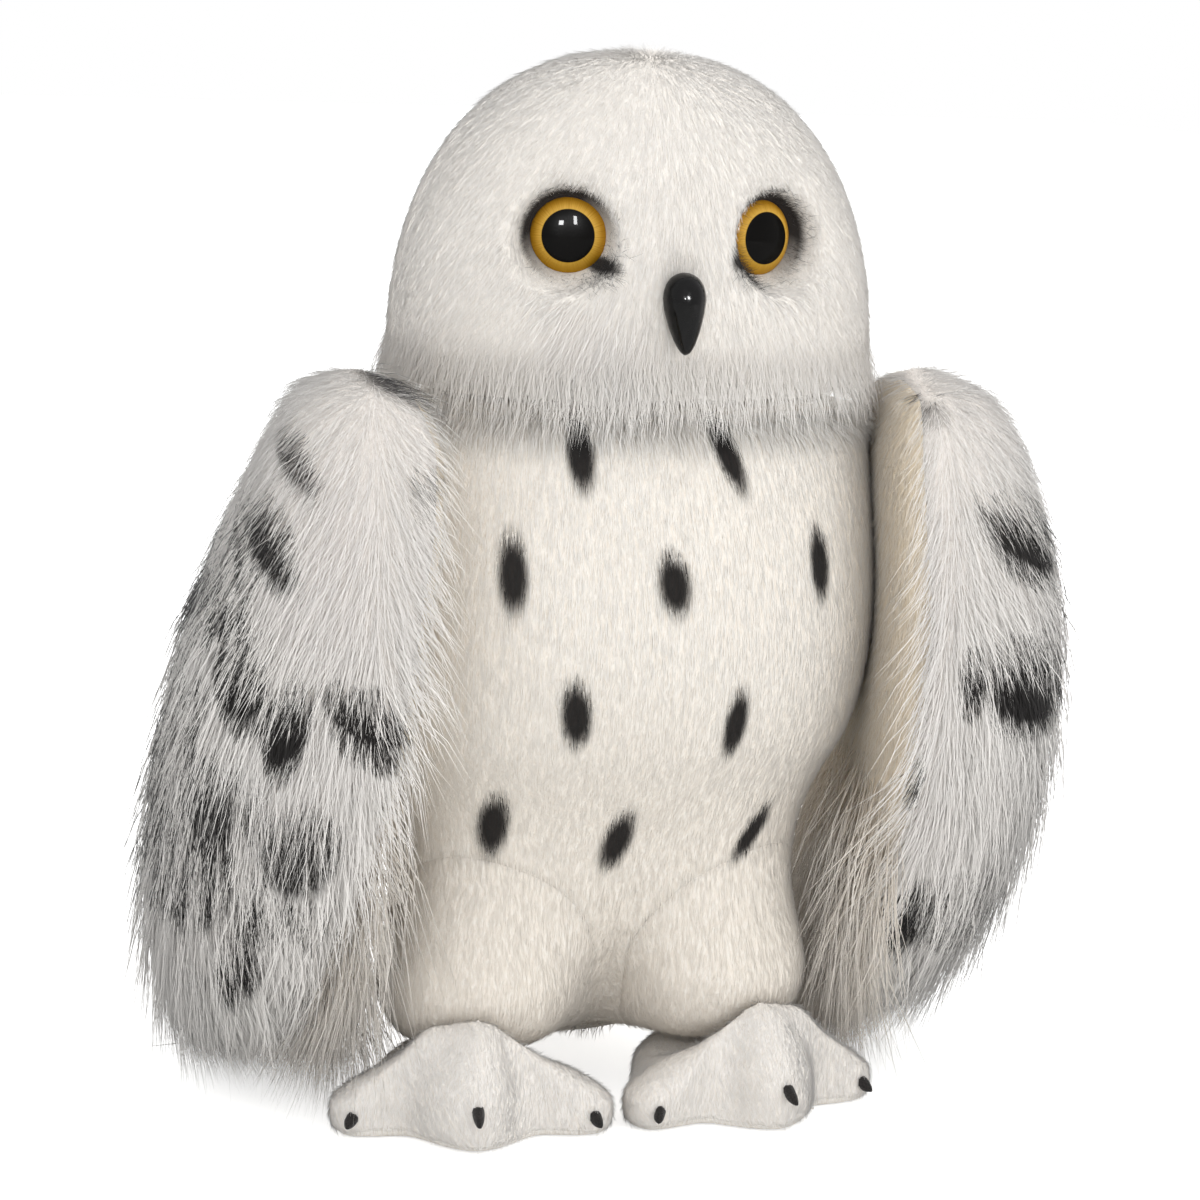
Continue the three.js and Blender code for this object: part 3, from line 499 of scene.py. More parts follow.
def parted(form, nodes):
    """One skin for each panel: a face goes with the panel nearest to it, and the seams are evened out."""
    trees = [tree_of([node]) for node in nodes]
    made = bmesh.new()
    made.from_mesh(form.data)
    made.faces.ensure_lookup_table()
    owner = []
    for face in made.faces:
        gaps = [tree.find_nearest(face.calc_center_median())[3] for tree in trees]
        owner.append(gaps.index(min(gaps)))
    for _ in range(VOTES):
        near = [[owner[g.index] for e in f.edges for g in e.link_faces] + [owner[f.index]] for f in made.faces]
        owner = [max(set(votes), key=votes.count) for votes in near]
    surface = BVHTree.FromBMesh(made)
    ends = {}
    for edge in made.edges:
        if len({owner[f.index] for f in edge.link_faces}) > 1:
            start, end = edge.verts
            ends.setdefault(start, []).append(end)
            ends.setdefault(end, []).append(start)
    for _ in range(SEAM_ROUNDS):
        moved = {v: v.co * 0.5 + sum((o.co for o in others), Vector()) / len(others) * 0.5
                 for v, others in ends.items() if len(others) == 2}
        for vert, place in moved.items():
            vert.co = surface.find_nearest(place)[0]
    skins = {}
    for number, node in enumerate(nodes):
        part = made.copy()
        part.faces.ensure_lookup_table()
        bmesh.ops.delete(part, geom=[f for f in part.faces if owner[f.index] != number], context="FACES")
        mesh = bpy.data.meshes.new(node + "_skin")
        part.to_mesh(mesh)
        part.free()
        skins[node] = lone(node + "_skin", mesh)
    made.free()
    return skins


def stands_for(piece, nodes, body):
    """Hides the solids that the piece shows, and sets it on the body that it moves with."""
    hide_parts(*nodes)
    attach(piece, body)


FILL_VOXEL = 2.6
FILL_ROUNDS = 4


def filling(node, form, body, depth_mm):
    """The fibre under a cover, kept well inside the rounded form, so that it never shows through."""
    made = bmesh.new()
    made.from_mesh(form.data)
    surface = BVHTree.FromBMesh(made)
    made.free()
    piece = form_of(node.replace("stuffing", "fibrefill"), [node], FILL_VOXEL, FILL_ROUNDS)
    co = points_of(piece.data)
    for i, place in enumerate(co):
        hit, normal, _, _ = surface.find_nearest(Vector(place))
        if (hit - Vector(place)).dot(normal) < depth_mm * MM:
            co[i] = hit - normal * depth_mm * MM
    move_points(piece.data, co)
    coat(bare(piece), fibre_fill)
    stands_for(piece, [node], body)


def pillow(name, outer, inner, stuffing, voxel_mm, rounds, body, depth_mm, shape=None):
    """The skins of a piece that is sewn from two panels, over its filling; a shape changes the form first."""
    form = form_of(name, [outer, inner, stuffing], voxel_mm, rounds)
    if shape:
        shape(form)
    skins = parted(form, [outer, inner])
    filling(stuffing, form, body, depth_mm)
    bpy.data.objects.remove(form)
    return skins[outer], skins[inner]


def sewn(skin, wall_mm):
    """Gives a skin its wall of cloth, inwards."""
    wall = skin.modifiers.new("wall", "SOLIDIFY")
    wall.thickness = wall_mm * MM
    wall.offset = -1
    wall.use_rim = True
    return settled(skin)


RIM_ANGLE = math.radians(50)


def coat(piece, material, smooth=True):
    piece.data.materials.clear()
    piece.data.materials.append(material)
    piece.data.polygons.foreach_set("use_smooth", [smooth] * len(piece.data.polygons))
    piece.data.update()
    return piece


def bare(piece, *keep):
    """Leaves only the attributes that the finish reads."""
    keep += ("sharp_face", "OFBake")
    for name in [a.name for a in piece.data.attributes]:
        attribute = piece.data.attributes[name]
        if not (attribute.is_internal or attribute.is_required or name in keep):
            piece.data.attributes.remove(attribute)
    return piece


# Pile and fur: strands set over a skin by Geometry Nodes

def strand(name, spans, thickness, bend, wave):
    """One closed, tapered fibre, one unit long, bent towards its own x."""
    turns = [math.tau * i / 3 for i in range(3)]
    verts, faces, along, side = [], [], [], []
    for row in range(spans):
        t = row / spans
        reach = thickness / 2 * (1 - t) ** 0.6
        centre = (bend * t * t, wave * math.sin(2.6 * t), t)
        for i, turn in enumerate(turns):
            verts.append((centre[0] + reach * math.cos(turn), centre[1] + reach * math.sin(turn), centre[2]))
            along.append(t)
            side.append(i / 3)
    verts.append((bend, wave * math.sin(2.6), 1))
    along.append(1)
    side.append(0.5)
    faces.append((2, 1, 0))
    for row in range(spans - 1):
        low, high = 3 * row, 3 * row + 3
        faces += [(low + i, low + (i + 1) % 3, high + (i + 1) % 3, high + i) for i in range(3)]
    last = 3 * (spans - 1)
    faces += [(last + i, last + (i + 1) % 3, len(verts) - 1) for i in range(3)]
    mesh = bpy.data.meshes.new(name)
    mesh.from_pydata(verts, [], faces)
    note(mesh, "along", along)
    note(mesh, "side", side)
    return bpy.data.objects.new(name, mesh)


def strand_kit(name, spans, thickness, bends, waves):
    kit = bpy.data.collections.new(name)
    for i, (bend, wave) in enumerate(zip(bends, waves)):
        kit.objects.link(strand(f"{name}_{i}", spans, thickness, bend, wave))
    return kit


def pile_tree():
    """Strands on a skin. They start along 'comb', raised by 'Rise' towards the skin's normal."""
    tree = bpy.data.node_groups.new("pile", "GeometryNodeTree")
    wanted = [("Skin", "Geometry"), ("Strands", "Collection"), ("Density", "Float"), ("Length", "Float"),
              ("Spread", "Float"), ("Rise", "Float"), ("Tousle", "Float"), ("Seed", "Int"),
              ("Finish", "Material")]
    for label, kind in wanted:
        tree.interface.new_socket(label, in_out="INPUT", socket_type="NodeSocket" + kind)
    tree.interface.new_socket("Pile", in_out="OUTPUT", socket_type="NodeSocketGeometry")
    given = add(tree, "NodeGroupInput").outputs

    pile, reach, comb = (
        add(tree, "GeometryNodeInputNamedAttribute", {"Name": name}, data_type=kind)
        for name, kind in (("pile", "FLOAT"), ("reach", "FLOAT"), ("comb", "FLOAT_VECTOR")))
    density = add(tree, "ShaderNodeMath", [given["Density"], pile], operation="MULTIPLY")
    spots = add(tree, "GeometryNodeDistributePointsOnFaces",
                {"Mesh": given["Skin"], "Density": density, "Seed": given["Seed"]}, distribute_method="RANDOM")
    points, normal = spots.outputs["Points"], spots.outputs["Normal"]
    lie = add(tree, "ShaderNodeMath", [1.0, given["Rise"]], operation="SUBTRACT")
    stray = add(tree, "FunctionNodeRandomValue", {0: (-1, -1, -1), 1: (1, 1, 1), "Seed": given["Seed"]},
                data_type="FLOAT_VECTOR")
    raised, laid, strayed, inwards = (
        add(tree, "ShaderNodeVectorMath", {0: vector, "Scale": share}, operation="SCALE")
        for vector, share in ((normal, given["Rise"]), (comb, lie), (stray, given["Tousle"]), (normal, -1.0)))
    lean = add(tree, "ShaderNodeVectorMath", [raised, laid], operation="ADD")
    aim = add(tree, "ShaderNodeVectorMath", [lean, strayed], operation="ADD")
    kinds = add(tree, "GeometryNodeCollectionInfo", {"Collection": given["Strands"], "Separate Children": True,
                                                     "Reset Children": True}).outputs[0]
    turn = add(tree, "FunctionNodeAxesToRotation", [aim, inwards], primary_axis="Z", secondary_axis="X")
    shortest, longest = (add(tree, "ShaderNodeMath", [1.0, given["Spread"]], operation=way)
                         for way in ("SUBTRACT", "ADD"))
    varied = add(tree, "FunctionNodeRandomValue", {2: shortest, 3: longest, "Seed": given["Seed"]},
                 data_type="FLOAT").outputs[1]
    length = add(tree, "ShaderNodeMath", [given["Length"], reach], operation="MULTIPLY")
    size = add(tree, "ShaderNodeMath", [length, varied], operation="MULTIPLY")
    flow = points
    for name, kind, value in (
        ("strand", "INT", add(tree, "GeometryNodeInputIndex").outputs[0]),
        ("root", "FLOAT_VECTOR", add(tree, "GeometryNodeInputPosition").outputs[0]),
        ("ground", "FLOAT_VECTOR", normal),
    ):
        flow = add(tree, "GeometryNodeStoreNamedAttribute", {"Geometry": flow, "Name": name, "Value": value},
                   data_type=kind, domain="POINT").outputs[0]
    which = add(tree, "FunctionNodeRandomValue", {4: 0, 5: 99, "Seed": given["Seed"]},
                data_type="INT").outputs[2]
    grown = add(tree, "GeometryNodeInstanceOnPoints",
                {"Points": flow, "Instance": kinds, "Pick Instance": True, "Instance Index": which,
                 "Rotation": turn, "Scale": size}).outputs[0]
    real = add(tree, "GeometryNodeRealizeInstances", {"Geometry": grown}).outputs[0]
    done = add(tree, "GeometryNodeSetMaterial", {"Geometry": real, "Material": given["Finish"]}).outputs[0]
    add(tree, "NodeGroupOutput", {"Pile": done})
    return tree


pile_nodes = pile_tree()


def grow(name, skin, kit, material, per_mm2, length_mm, spread, rise, tousle, seed):
    """Strands over a skin, as one plain mesh."""
    piece = lone(name, skin.data.copy())
    growth = piece.modifiers.new("pile", "NODES")
    growth.node_group = pile_nodes
    values = {"Strands": kit, "Density": per_mm2 / MM ** 2, "Length": length_mm * MM, "Spread": spread,
              "Rise": rise, "Tousle": tousle, "Seed": seed, "Finish": material}
    for socket in pile_nodes.interface.items_tree:
        if socket.name in values:
            growth[socket.identifier] = values[socket.name]
    return coat(settled(piece), material)


def own_square(piece):
    """The pile's own UV map: each strand has its cell, root at the bottom, for a shade of its own."""
    mesh = piece.data
    number, along, side = read(mesh, "strand"), read(mesh, "along"), read(mesh, "side")
    columns = math.ceil(math.sqrt(number.max() + 1))
    u = (number % columns + 0.15 + 0.7 * side) / columns
    v = (number // columns + 0.1 + 0.8 * along) / columns
    corner = np.empty(len(mesh.loops), np.int32)
    mesh.loops.foreach_get("vertex_index", corner)
    layer = mesh.uv_layers.new(name="OFBake")
    layer.uv.foreach_set("vector", np.stack([u, v], 1)[corner].astype(np.float32).ravel())


def chance(number, salt=0.0):
    """The same random share each run for each number."""
    return np.modf(np.abs(np.sin(number * 12.9898 + salt * 78.233) * 43758.5453))[0]


def dress(piece, body, shape=None, soft_normals=0.9):
    """Combs a pile, gives each fibre its own shade, and sets it on its body."""
    mesh = piece.data
    co, root, ground = points_of(mesh), read(mesh, "root", 3), read(mesh, "ground", 3)
    number, along = read(mesh, "strand"), read(mesh, "along")
    if shape:
        co = shape(co / MM, root / MM, ground, number, along) * MM
        move_points(mesh, co)
    note(mesh, "tint", chance(number))
    own_square(piece)
    normals = unit(normals_of(mesh) * (1 - soft_normals) + ground * soft_normals)
    mesh.normals_split_custom_set_from_vertices(normals.astype(np.float32).tolist())
    bare(piece, "along", "tint", "custom_normal")
    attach(piece, body)
    return piece


def combed(skin, comb, reach=None, clear_of=(), keep_off_mm=1.0, only=None):
    """Writes on a skin which way its pile lies, how long it is, and where there is none."""
    mesh = skin.data
    co, normals = points_of(mesh) / MM, normals_of(mesh)
    way = comb(co, normals)
    way -= normals * np.sum(way * normals, axis=1, keepdims=True)
    note(mesh, "comb", unit(way, 0.25), "FLOAT_VECTOR")
    note(mesh, "reach", np.ones(len(co)) if reach is None else reach(co, normals))
    pile = np.ones(len(co)) if only is None else only(co, normals)
    for tree in [tree_of(nodes) for nodes in clear_of]:
        for i, place in enumerate(co * MM):
            if pile[i] > 0:
                close = tree.find_nearest(Vector(place), keep_off_mm * MM)[0]
                if close or is_inside(tree, place):
                    pile[i] = 0
    note(mesh, "pile", pile)


MOST_CROSSINGS = 24


def is_inside(tree, place):
    """Whether a place is inside closed solids: a line from it leaves them an odd number of times."""
    spot, count = Vector(place), 0
    while count < MOST_CROSSINGS:
        hit = tree.ray_cast(spot, RAY)[0]
        if hit is None:
            break
        count += 1
        spot = hit + RAY * 0.01 * MM
    return count % 2 == 1


def smoothstep(low, high, value):
    share = np.clip((value - low) / (high - low), 0, 1)
    return share * share * (3 - 2 * share)


def down(co, normals):
    return np.tile([0.0, 0.0, -1.0], (len(co), 1))


def from_eye(co, side):
    """How far points lie from an eye's axis, and their offset across it."""
    offset = co - eye_place(side)
    depth = offset @ eye_way(side)
    across = offset - depth[:, None] * eye_way(side)
    return np.linalg.norm(across, axis=1), across, depth


def from_eyes(co):
    return np.minimum(from_eye(co, "left")[0], from_eye(co, "right")[0])


short_kit = strand_kit("short_fibre", 1, 0.05, (0.2, 0.1, 0.3, 0.2), (0.0, 0.06, -0.06, 0.1))
velboa_kit = strand_kit("velboa_fibre", 1, 0.06, (0.2, 0.1, 0.3, 0.2), (0.0, 0.06, -0.06, 0.1))
under_kit = strand_kit("undercoat_fibre", 1, 0.024, (0.25, 0.1, 0.35, 0.2), (0.05, -0.06, 0.08, -0.03))
long_kit = strand_kit("guard_hair", 2, 0.0098, (0.25, 0.38, 0.16, 0.3), (0.05, -0.07, 0.1, -0.04))
lock_kit = strand_kit("tapered_lock", 3, 0.02, (0.25, 0.35, 0.16, 0.3), (0.05, -0.07, 0.1, -0.04))


def cloth_skin(skin, name, nodes, body, finish, wall_mm):
    """The cover's cloth: a skin with its wall, which stands for the solid."""
    skin.name = name
    sewn(skin, wall_mm)
    coat(skin, finish)
    skin.data.set_sharp_from_angle(angle=RIM_ANGLE)
    bare(skin)
    stands_for(skin, nodes, body)


# Head

def head_freedom(co):
    near = from_eyes(co)
    in_front = co[:, 1] < -20
    return np.where(in_front, 0.12 + 0.88 * smoothstep(15, 24, near), 1.0)


def head_comb(co, normals):
    """The nap runs down and outwards over the head, and away from the rim of each eye."""
    way = np.stack([(co[:, 0] - HEAD_X) / 70, np.full(len(co), 0.2), np.full(len(co), -0.8)], axis=1)
    for side in SIDES:
        radius, across, _ = from_eye(co, side)
        close = (1 - smoothstep(10.8, 14.5, radius))[:, None] * (co[:, 1] < -20)[:, None]
        way = way * (1 - close) + close * across / np.maximum(radius, 1e-6)[:, None]
    return way


def head_reach(co, normals):
    near = from_eyes(co)
    reach = 0.55 + 0.45 * smoothstep(11, 16, near)
    beak = np.hypot(co[:, 0] - BEAK_SEAT[0], co[:, 2] - BEAK_SEAT[2])
    reach *= np.where(co[:, 1] < -30, 0.5 + 0.5 * smoothstep(7, 15, beak), 1)
    return reach * (1 + 0.5 * (1 - smoothstep(194, 204, co[:, 2])))


def bare_eyes(co, normals):
    near = from_eyes(co)
    beak = np.hypot((co[:, 0] - BEAK_SEAT[0]) / 5.2, (co[:, 2] - BEAK_SEAT[2] + 1) / 9.5)
    return np.where((co[:, 1] < -20) & ((near < 10.6) | (beak < 1)), 0.0, 1.0)


NECK_Z = 193.6


def off_the_joint(co, normals):
    """No pile on the flat that the head turns on."""
    return 1.0 - ((np.abs(co[:, 2] - NECK_Z) < 3) & (np.abs(normals[:, 2]) > 0.8))


def face_only(co, normals):
    return bare_eyes(co, normals) * (co[:, 1] <= SEAM_Y) * off_the_joint(co, normals)


def back_of_head_only(co, normals):
    return (co[:, 1] > SEAM_Y) * off_the_joint(co, normals)


CORNER_TUFT = 3.2


def lash_place(co, normals):
    """Lashes stand round the upper and outer rim, and in a tuft at the inner corner below."""
    found = np.zeros(len(co))
    for side, way in SIDES.items():
        radius, across, depth = from_eye(co, side)
        turn = np.arctan2(across[:, 2], way * across[:, 0])
        ring = (radius > 10.7) & (radius < 12.9) & (depth > -14) & (co[:, 1] < -20)
        upper = 0.3 + 0.7 * np.clip(np.sin(turn + 0.5), 0, 1)
        wedge = (radius > 10.7) & (radius < 15.5) & (depth > -14) & (co[:, 1] < -20) & (turn < 0)
        corner = np.exp(-((np.abs(turn) - 2.4) / 0.3) ** 2) * CORNER_TUFT
        found = np.maximum(found, np.maximum(ring * upper, wedge * corner))
    return found / CORNER_TUFT


def lash_comb(co, normals):
    way = np.zeros((len(co), 3))
    for side in SIDES:
        radius, across, _ = from_eye(co, side)
        way += (radius < 20)[:, None] * across / np.maximum(radius, 1e-6)[:, None]
    return way


def beard_place(co, normals):
    """Long white strands hang from beside the beak over the chin."""
    across = 1 - smoothstep(6, 20, np.abs(co[:, 0] - BEAK_SEAT[0] + 18))
    height = smoothstep(196, 203, co[:, 2]) * (1 - smoothstep(216, 226, co[:, 2]))
    return across * height * (co[:, 1] < -30)


def ruff_place(co, normals):
    """Longer pile round the lower edge of the head, which hangs over the neck seam."""
    return (1 - smoothstep(206, 214, co[:, 2])) * (normals[:, 2] > -0.75)


def over_the_neck(co, root, ground, number, along):
    """The ruff hangs down over the top of the body and stands a little off it."""
    tips = np.zeros((number.max() + 1, 3))
    roots = np.zeros_like(tips)
    tips[number[along > 0.99]] = co[along > 0.99]
    roots[number] = root
    length = np.linalg.norm(tips - roots, axis=1)[number][:, None]
    out = ground.copy()
    out[:, 2] = 0
    out = unit(out)
    stray = np.stack([chance(number, 4) - 0.5, chance(number, 5) - 0.5, np.zeros(len(co))], axis=1)
    way = unit(out * (0.18 + 0.22 * np.clip((203 - root[:, 2:]) / 8, 0, 1)) + stray * 0.6 - (0, 0, 1))
    ground[:, 2] = np.maximum(ground[:, 2], 0.0)  # the hanging strands catch light like the side of the head
    return co + (root + way * length - tips[number]) * along[:, None] ** 0.8


def ruff_reach(co, normals):
    """A little longer under the chin and on the owl's right, where the photograph shows it."""
    share = 0.92 + 0.08 * (1 - smoothstep(0, 30, co[:, 0])) * (co[:, 1] < SEAM_Y)
    return share * (1.05 - 0.6 * smoothstep(203, 213, co[:, 2]))


# Name, strands, finish, comb, reach and place of each pile of the head, then its growth (strands to a
# mm2, length, spread, rise, tousle and seed), its shape and how far its shading follows the skin
HEAD_PILES = [
    ("neck_ruff", long_kit, head_pile, head_comb, ruff_reach, ruff_place,
     (2.2, 12.5, 0.35, 0.12, 0.1, 15), over_the_neck, 0.9),
    ("face_pile", short_kit, head_pile, head_comb, head_reach, face_only,
     (2.7, 3.6, 0.22, 0.22, 0.13, 11), None, 0.92),
    ("back_of_head_pile", short_kit, head_pile, head_comb, head_reach, back_of_head_only,
     (1.35, 3.8, 0.25, 0.22, 0.13, 12), None, 0.92),
    ("eye_lashes", lock_kit, lash_pile, lash_comb, None, lash_place,
     (6.0, 3.4, 0.4, 0.55, 0.25, 13), None, 0.3),
    ("beard_hair", long_kit, head_pile, head_comb, None, beard_place,
     (1.7, 14.0, 0.35, 0.16, 0.12, 14), None, 0.7),
]
head = form_of("head_plush", ["head_cover", "head_stuffing"], 2.6, 60, head_freedom)
for name, kit, finish, comb, reach, there, growth, shape, soft_normals in HEAD_PILES:
    combed(head, comb, reach, only=there)
    dress(grow(name, head, kit, finish, *growth), "head", shape, soft_normals)
filling("head_stuffing", head, "head", 3.4)
cloth_skin(head, "head_plush", ["head_cover"], "head", head_cloth, 3.0)


# Body and thighs: one form, parted into the belly, the back and the thighs where they are sewn together

LEGS = [f"leg_cover_{side}" for side in SIDES]
CLEFT_X = 1.5
CLEFT_DEPTH = 7


def thigh_crease(co):
    """Where the thighs bulge out of the belly, which is softer than the solids' edge."""
    band = smoothstep(34, 58, co[:, 2]) * (1 - smoothstep(84, 104, co[:, 2]))
    beside = np.abs(co[:, 0] - CLEFT_X) + 0.5 * np.maximum(co[:, 2] - 45, 0)
    return band * (0.15 + 0.85 * smoothstep(3, 14, beside))


def torso_comb(co, normals):
    """Down, but the pile stands up at the top, under the neck."""
    return down(co, normals) * (1 - 0.85 * smoothstep(180, 188, co[:, 2]))[:, None]


def torso_reach(co, normals):
    return 1 + 0.9 * smoothstep(182, 189, co[:, 2])


torso = form_of("torso", ["belly_panel", "back_panel", "body_stuffing"] + LEGS
                + [f"leg_stuffing_{side}" for side in SIDES], 3.0, 34)
rounded(torso.data, 110, thigh_crease)
place = points_of(torso.data) / MM
cleft = np.exp(-((place[:, 0] - CLEFT_X) / 7) ** 2) * (1 - smoothstep(28, 52, place[:, 2]))
cleft *= place[:, 1] < -8
move_points(torso.data, (place + (0, 1, 0) * (CLEFT_DEPTH * cleft)[:, None]) * MM)
FEET = [[f"foot_cover_{side}", f"foot_stuffing_{side}", f"sole_{side}"] for side in SIDES]
FRONT_SPLIT_Z = 92.0
BODY_PILES = {
    "belly_pile": (1.75, lambda co: (co[:, 1] <= SEAM_Y) & (co[:, 2] > FRONT_SPLIT_Z)),
    "thigh_pile": (1.6, lambda co: (co[:, 1] <= SEAM_Y) & (co[:, 2] <= FRONT_SPLIT_Z)),
    "back_pile": (0.75, lambda co: co[:, 1] > SEAM_Y),
}
for seed, (name, (density, there)) in enumerate(BODY_PILES.items()):
    combed(torso, torso_comb, torso_reach, clear_of=FEET, keep_off_mm=0.1,
           only=lambda co, normals: there(co) * off_the_joint(co, normals))
    dress(grow(name, torso, short_kit, body_pile, density, 3.8, 0.25, 0.2, 0.09, 21 + seed),
          "body", None, 0.92)
skins = parted(torso, ["belly_panel", "back_panel"] + LEGS)
for side in SIDES:
    filling(f"leg_stuffing_{side}", torso, "body", 3.4)
filling("body_stuffing", torso, "body", 3.4)
bpy.data.objects.remove(torso)
NAMES = {"belly_panel": "belly_plush", "back_panel": "back_plush",
         "leg_cover_left": "thigh_left_plush", "leg_cover_right": "thigh_right_plush"}
for node, name in NAMES.items():
    cloth_skin(skins[node], name, [node], "body", body_cloth, 2.5)


# Feet, soles and claws

def foot_comb(co, normals):
    return np.tile([0.0, -0.8, -0.6], (len(co), 1))


TOE_OUT = math.radians(11)
FOOT_LENGTH = 45.0
HOLLOW_DEPTH = 2.4


def toes(side):
    """Deepens the hollows between the toes, which the even form only hints at."""
    box = points_of(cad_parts[f"foot_cover_{side}"].data) / MM
    middle, heel = (box[:, 0].min() + box[:, 0].max()) / 2, box[:, 1].max() - 0.36 * FOOT_LENGTH
    spread = SIDES[side] * TOE_OUT

    def shape(form):
        co, normals = points_of(form.data) / MM, normals_of(form.data)
        x, y = co[:, 0] - middle, co[:, 1] - heel
        across = x * math.cos(spread) + y * math.sin(spread)
        forward = x * math.sin(spread) - y * math.cos(spread)
        reach = np.hypot(across, forward) / FOOT_LENGTH
        turn = np.degrees(np.abs(np.arctan2(across, forward)))
        hollow = np.exp(-((turn - 27) / 8.5) ** 2) * smoothstep(0.32, 0.6, reach) * (forward > 0)
        low = 1 - 0.5 * smoothstep(16, 30, co[:, 2])
        beside = smoothstep(16, 46, turn) * smoothstep(0.25, 0.55, reach) * smoothstep(6, 16, co[:, 2])
        co = co - (0, 0, 1) * (0.24 * beside * co[:, 2])[:, None]
        co = co - normals * (HOLLOW_DEPTH * hollow * low * smoothstep(1.0, 4.0, co[:, 2]))[:, None]
        move_points(form.data, co * MM)
        rounded(form.data, 9)
    return shape


def off_the_floor(co, root, ground, number, along):
    co[:, 2] = np.maximum(co[:, 2], 0.25)
    return co


CLAW_GROWTH = {"inner": (1.5, 1.5, 1.7), "middle": (1.0, 1.1, 1.1), "outer": (1.5, 1.5, 1.7)}
for side in SIDES:
    cover, stuffing, under = f"foot_cover_{side}", f"foot_stuffing_{side}", f"sole_{side}"
    body = f"foot_{side}"
    foot, sole = pillow("foot", cover, under, stuffing, 1.4, 12, body, 2.4, toes(side))
    combed(foot, foot_comb, clear_of=[[f"claw_{toe}_{side}" for toe in CLAW_GROWTH]], keep_off_mm=1.2)
    dress(grow(f"foot_pile_{side}", foot, velboa_kit, foot_pile, 2.3, 2.6, 0.25, 0.3, 0.18, 41 + SIDES[side]),
          body, off_the_floor, 0.97)
    cloth_skin(foot, f"foot_plush_{side}", [cover], body, foot_cloth, 1.5)
    cloth_skin(sole, f"sole_tricot_{side}", [under], body, sole_cloth, 1.2)
    for toe, growth in CLAW_GROWTH.items():
        node = f"claw_{toe}_{side}"
        claw = form_of(f"felt_{node}", [node], 0.4, 4)
        co = points_of(claw.data)
        move_points(claw.data, co.mean(0) + (co - co.mean(0)) * growth)
        coat(claw, claw_felt)
        stands_for(claw, [node], body)


# Wings: long pile outside, short cream pile inside

WIDEST_X = 131.0
GATHER = 0.65
DRIFT = 0.26


def hanging(gather_mm, droop):
    """Combs long hair: it gathers in locks, hangs, and ends above the floor and within the toy's width."""
    def shape(co, root, ground, number, along):
        length = np.linalg.norm(co - root, axis=1)
        cells = [np.floor(root[:, i] / gather_mm) for i in range(3)]
        lock = cells[0] + 31 * cells[1] + 977 * cells[2]
        drift = np.stack([chance(lock, k) - 0.5 for k in (1, 2, 3)], axis=1)
        gather = np.stack([(cell + 0.5) * gather_mm for cell in cells], axis=1) - root
        for push in (drift, gather):
            push -= ground * np.sum(push * ground, axis=1, keepdims=True)
        ease = (along ** 1.5)[:, None]
        co = co + gather * GATHER * ease + drift * (length * DRIFT)[:, None] * ease
        co[:, 2] -= droop * length * along
        lowest = np.full(number.max() + 1, 1e9)
        np.minimum.at(lowest, number, co[:, 2])
        end = 1.2 + 3.5 * chance(number, 9)
        drop = root[:, 2] - lowest[number]
        fit = np.clip((root[:, 2] - end) / np.maximum(drop, 0.01), 0.12, 1.0)
        widest = np.zeros(number.max() + 1)
        np.maximum.at(widest, number, np.abs(co[:, 0]))
        beyond = np.maximum(widest[number] - np.abs(root[:, 0]), 0.01)
        fit = np.minimum(fit, np.maximum(WIDEST_X - np.abs(root[:, 0]), 0) / beyond)
        return root + (co - root) * fit[:, None]
    return shape


def wing_comb(side):
    way = SIDES[side]

    def comb(co, normals):
        """Down, fanning outwards from the shoulder; at the inner front edge it falls in over the belly."""
        fan = smoothstep(60, 190, co[:, 2])
        inner = (1 - smoothstep(68, 84, way * co[:, 0])) * (1 - smoothstep(-25, 0, co[:, 1]))
        inner *= 1 - 0.5 * smoothstep(188, 200, co[:, 2])
        across = way * (0.5 * fan * (1 - inner) - 0.75 * inner)
        return np.stack([across, 0.15 - 0.3 * inner, np.full(len(co), -1.0)], axis=1)
    return comb


def wing_reach(co, normals):
    """Short over the shoulder and on the front edge, longest at the lower edge and outside."""
    low = smoothstep(200, 120, co[:, 2])
    outside = smoothstep(-0.55, 0.35, np.abs(normals[:, 0]) - np.maximum(-normals[:, 1], 0))
    return 0.35 + 0.3 * low + 0.4 * np.maximum(outside * low, smoothstep(110, 40, co[:, 2]))


def fringe_comb(side):
    def comb(co, normals):
        """The long fringe inside the lower edge hangs down and in towards the leg."""
        return np.tile([-0.6 * SIDES[side], -0.25, -1.0], (len(co), 1))
    return comb


def fringe_place(co, normals):
    return np.maximum(1 - smoothstep(46, 70, co[:, 2]), 0.35 * (1 - smoothstep(60, 104, co[:, 2])))


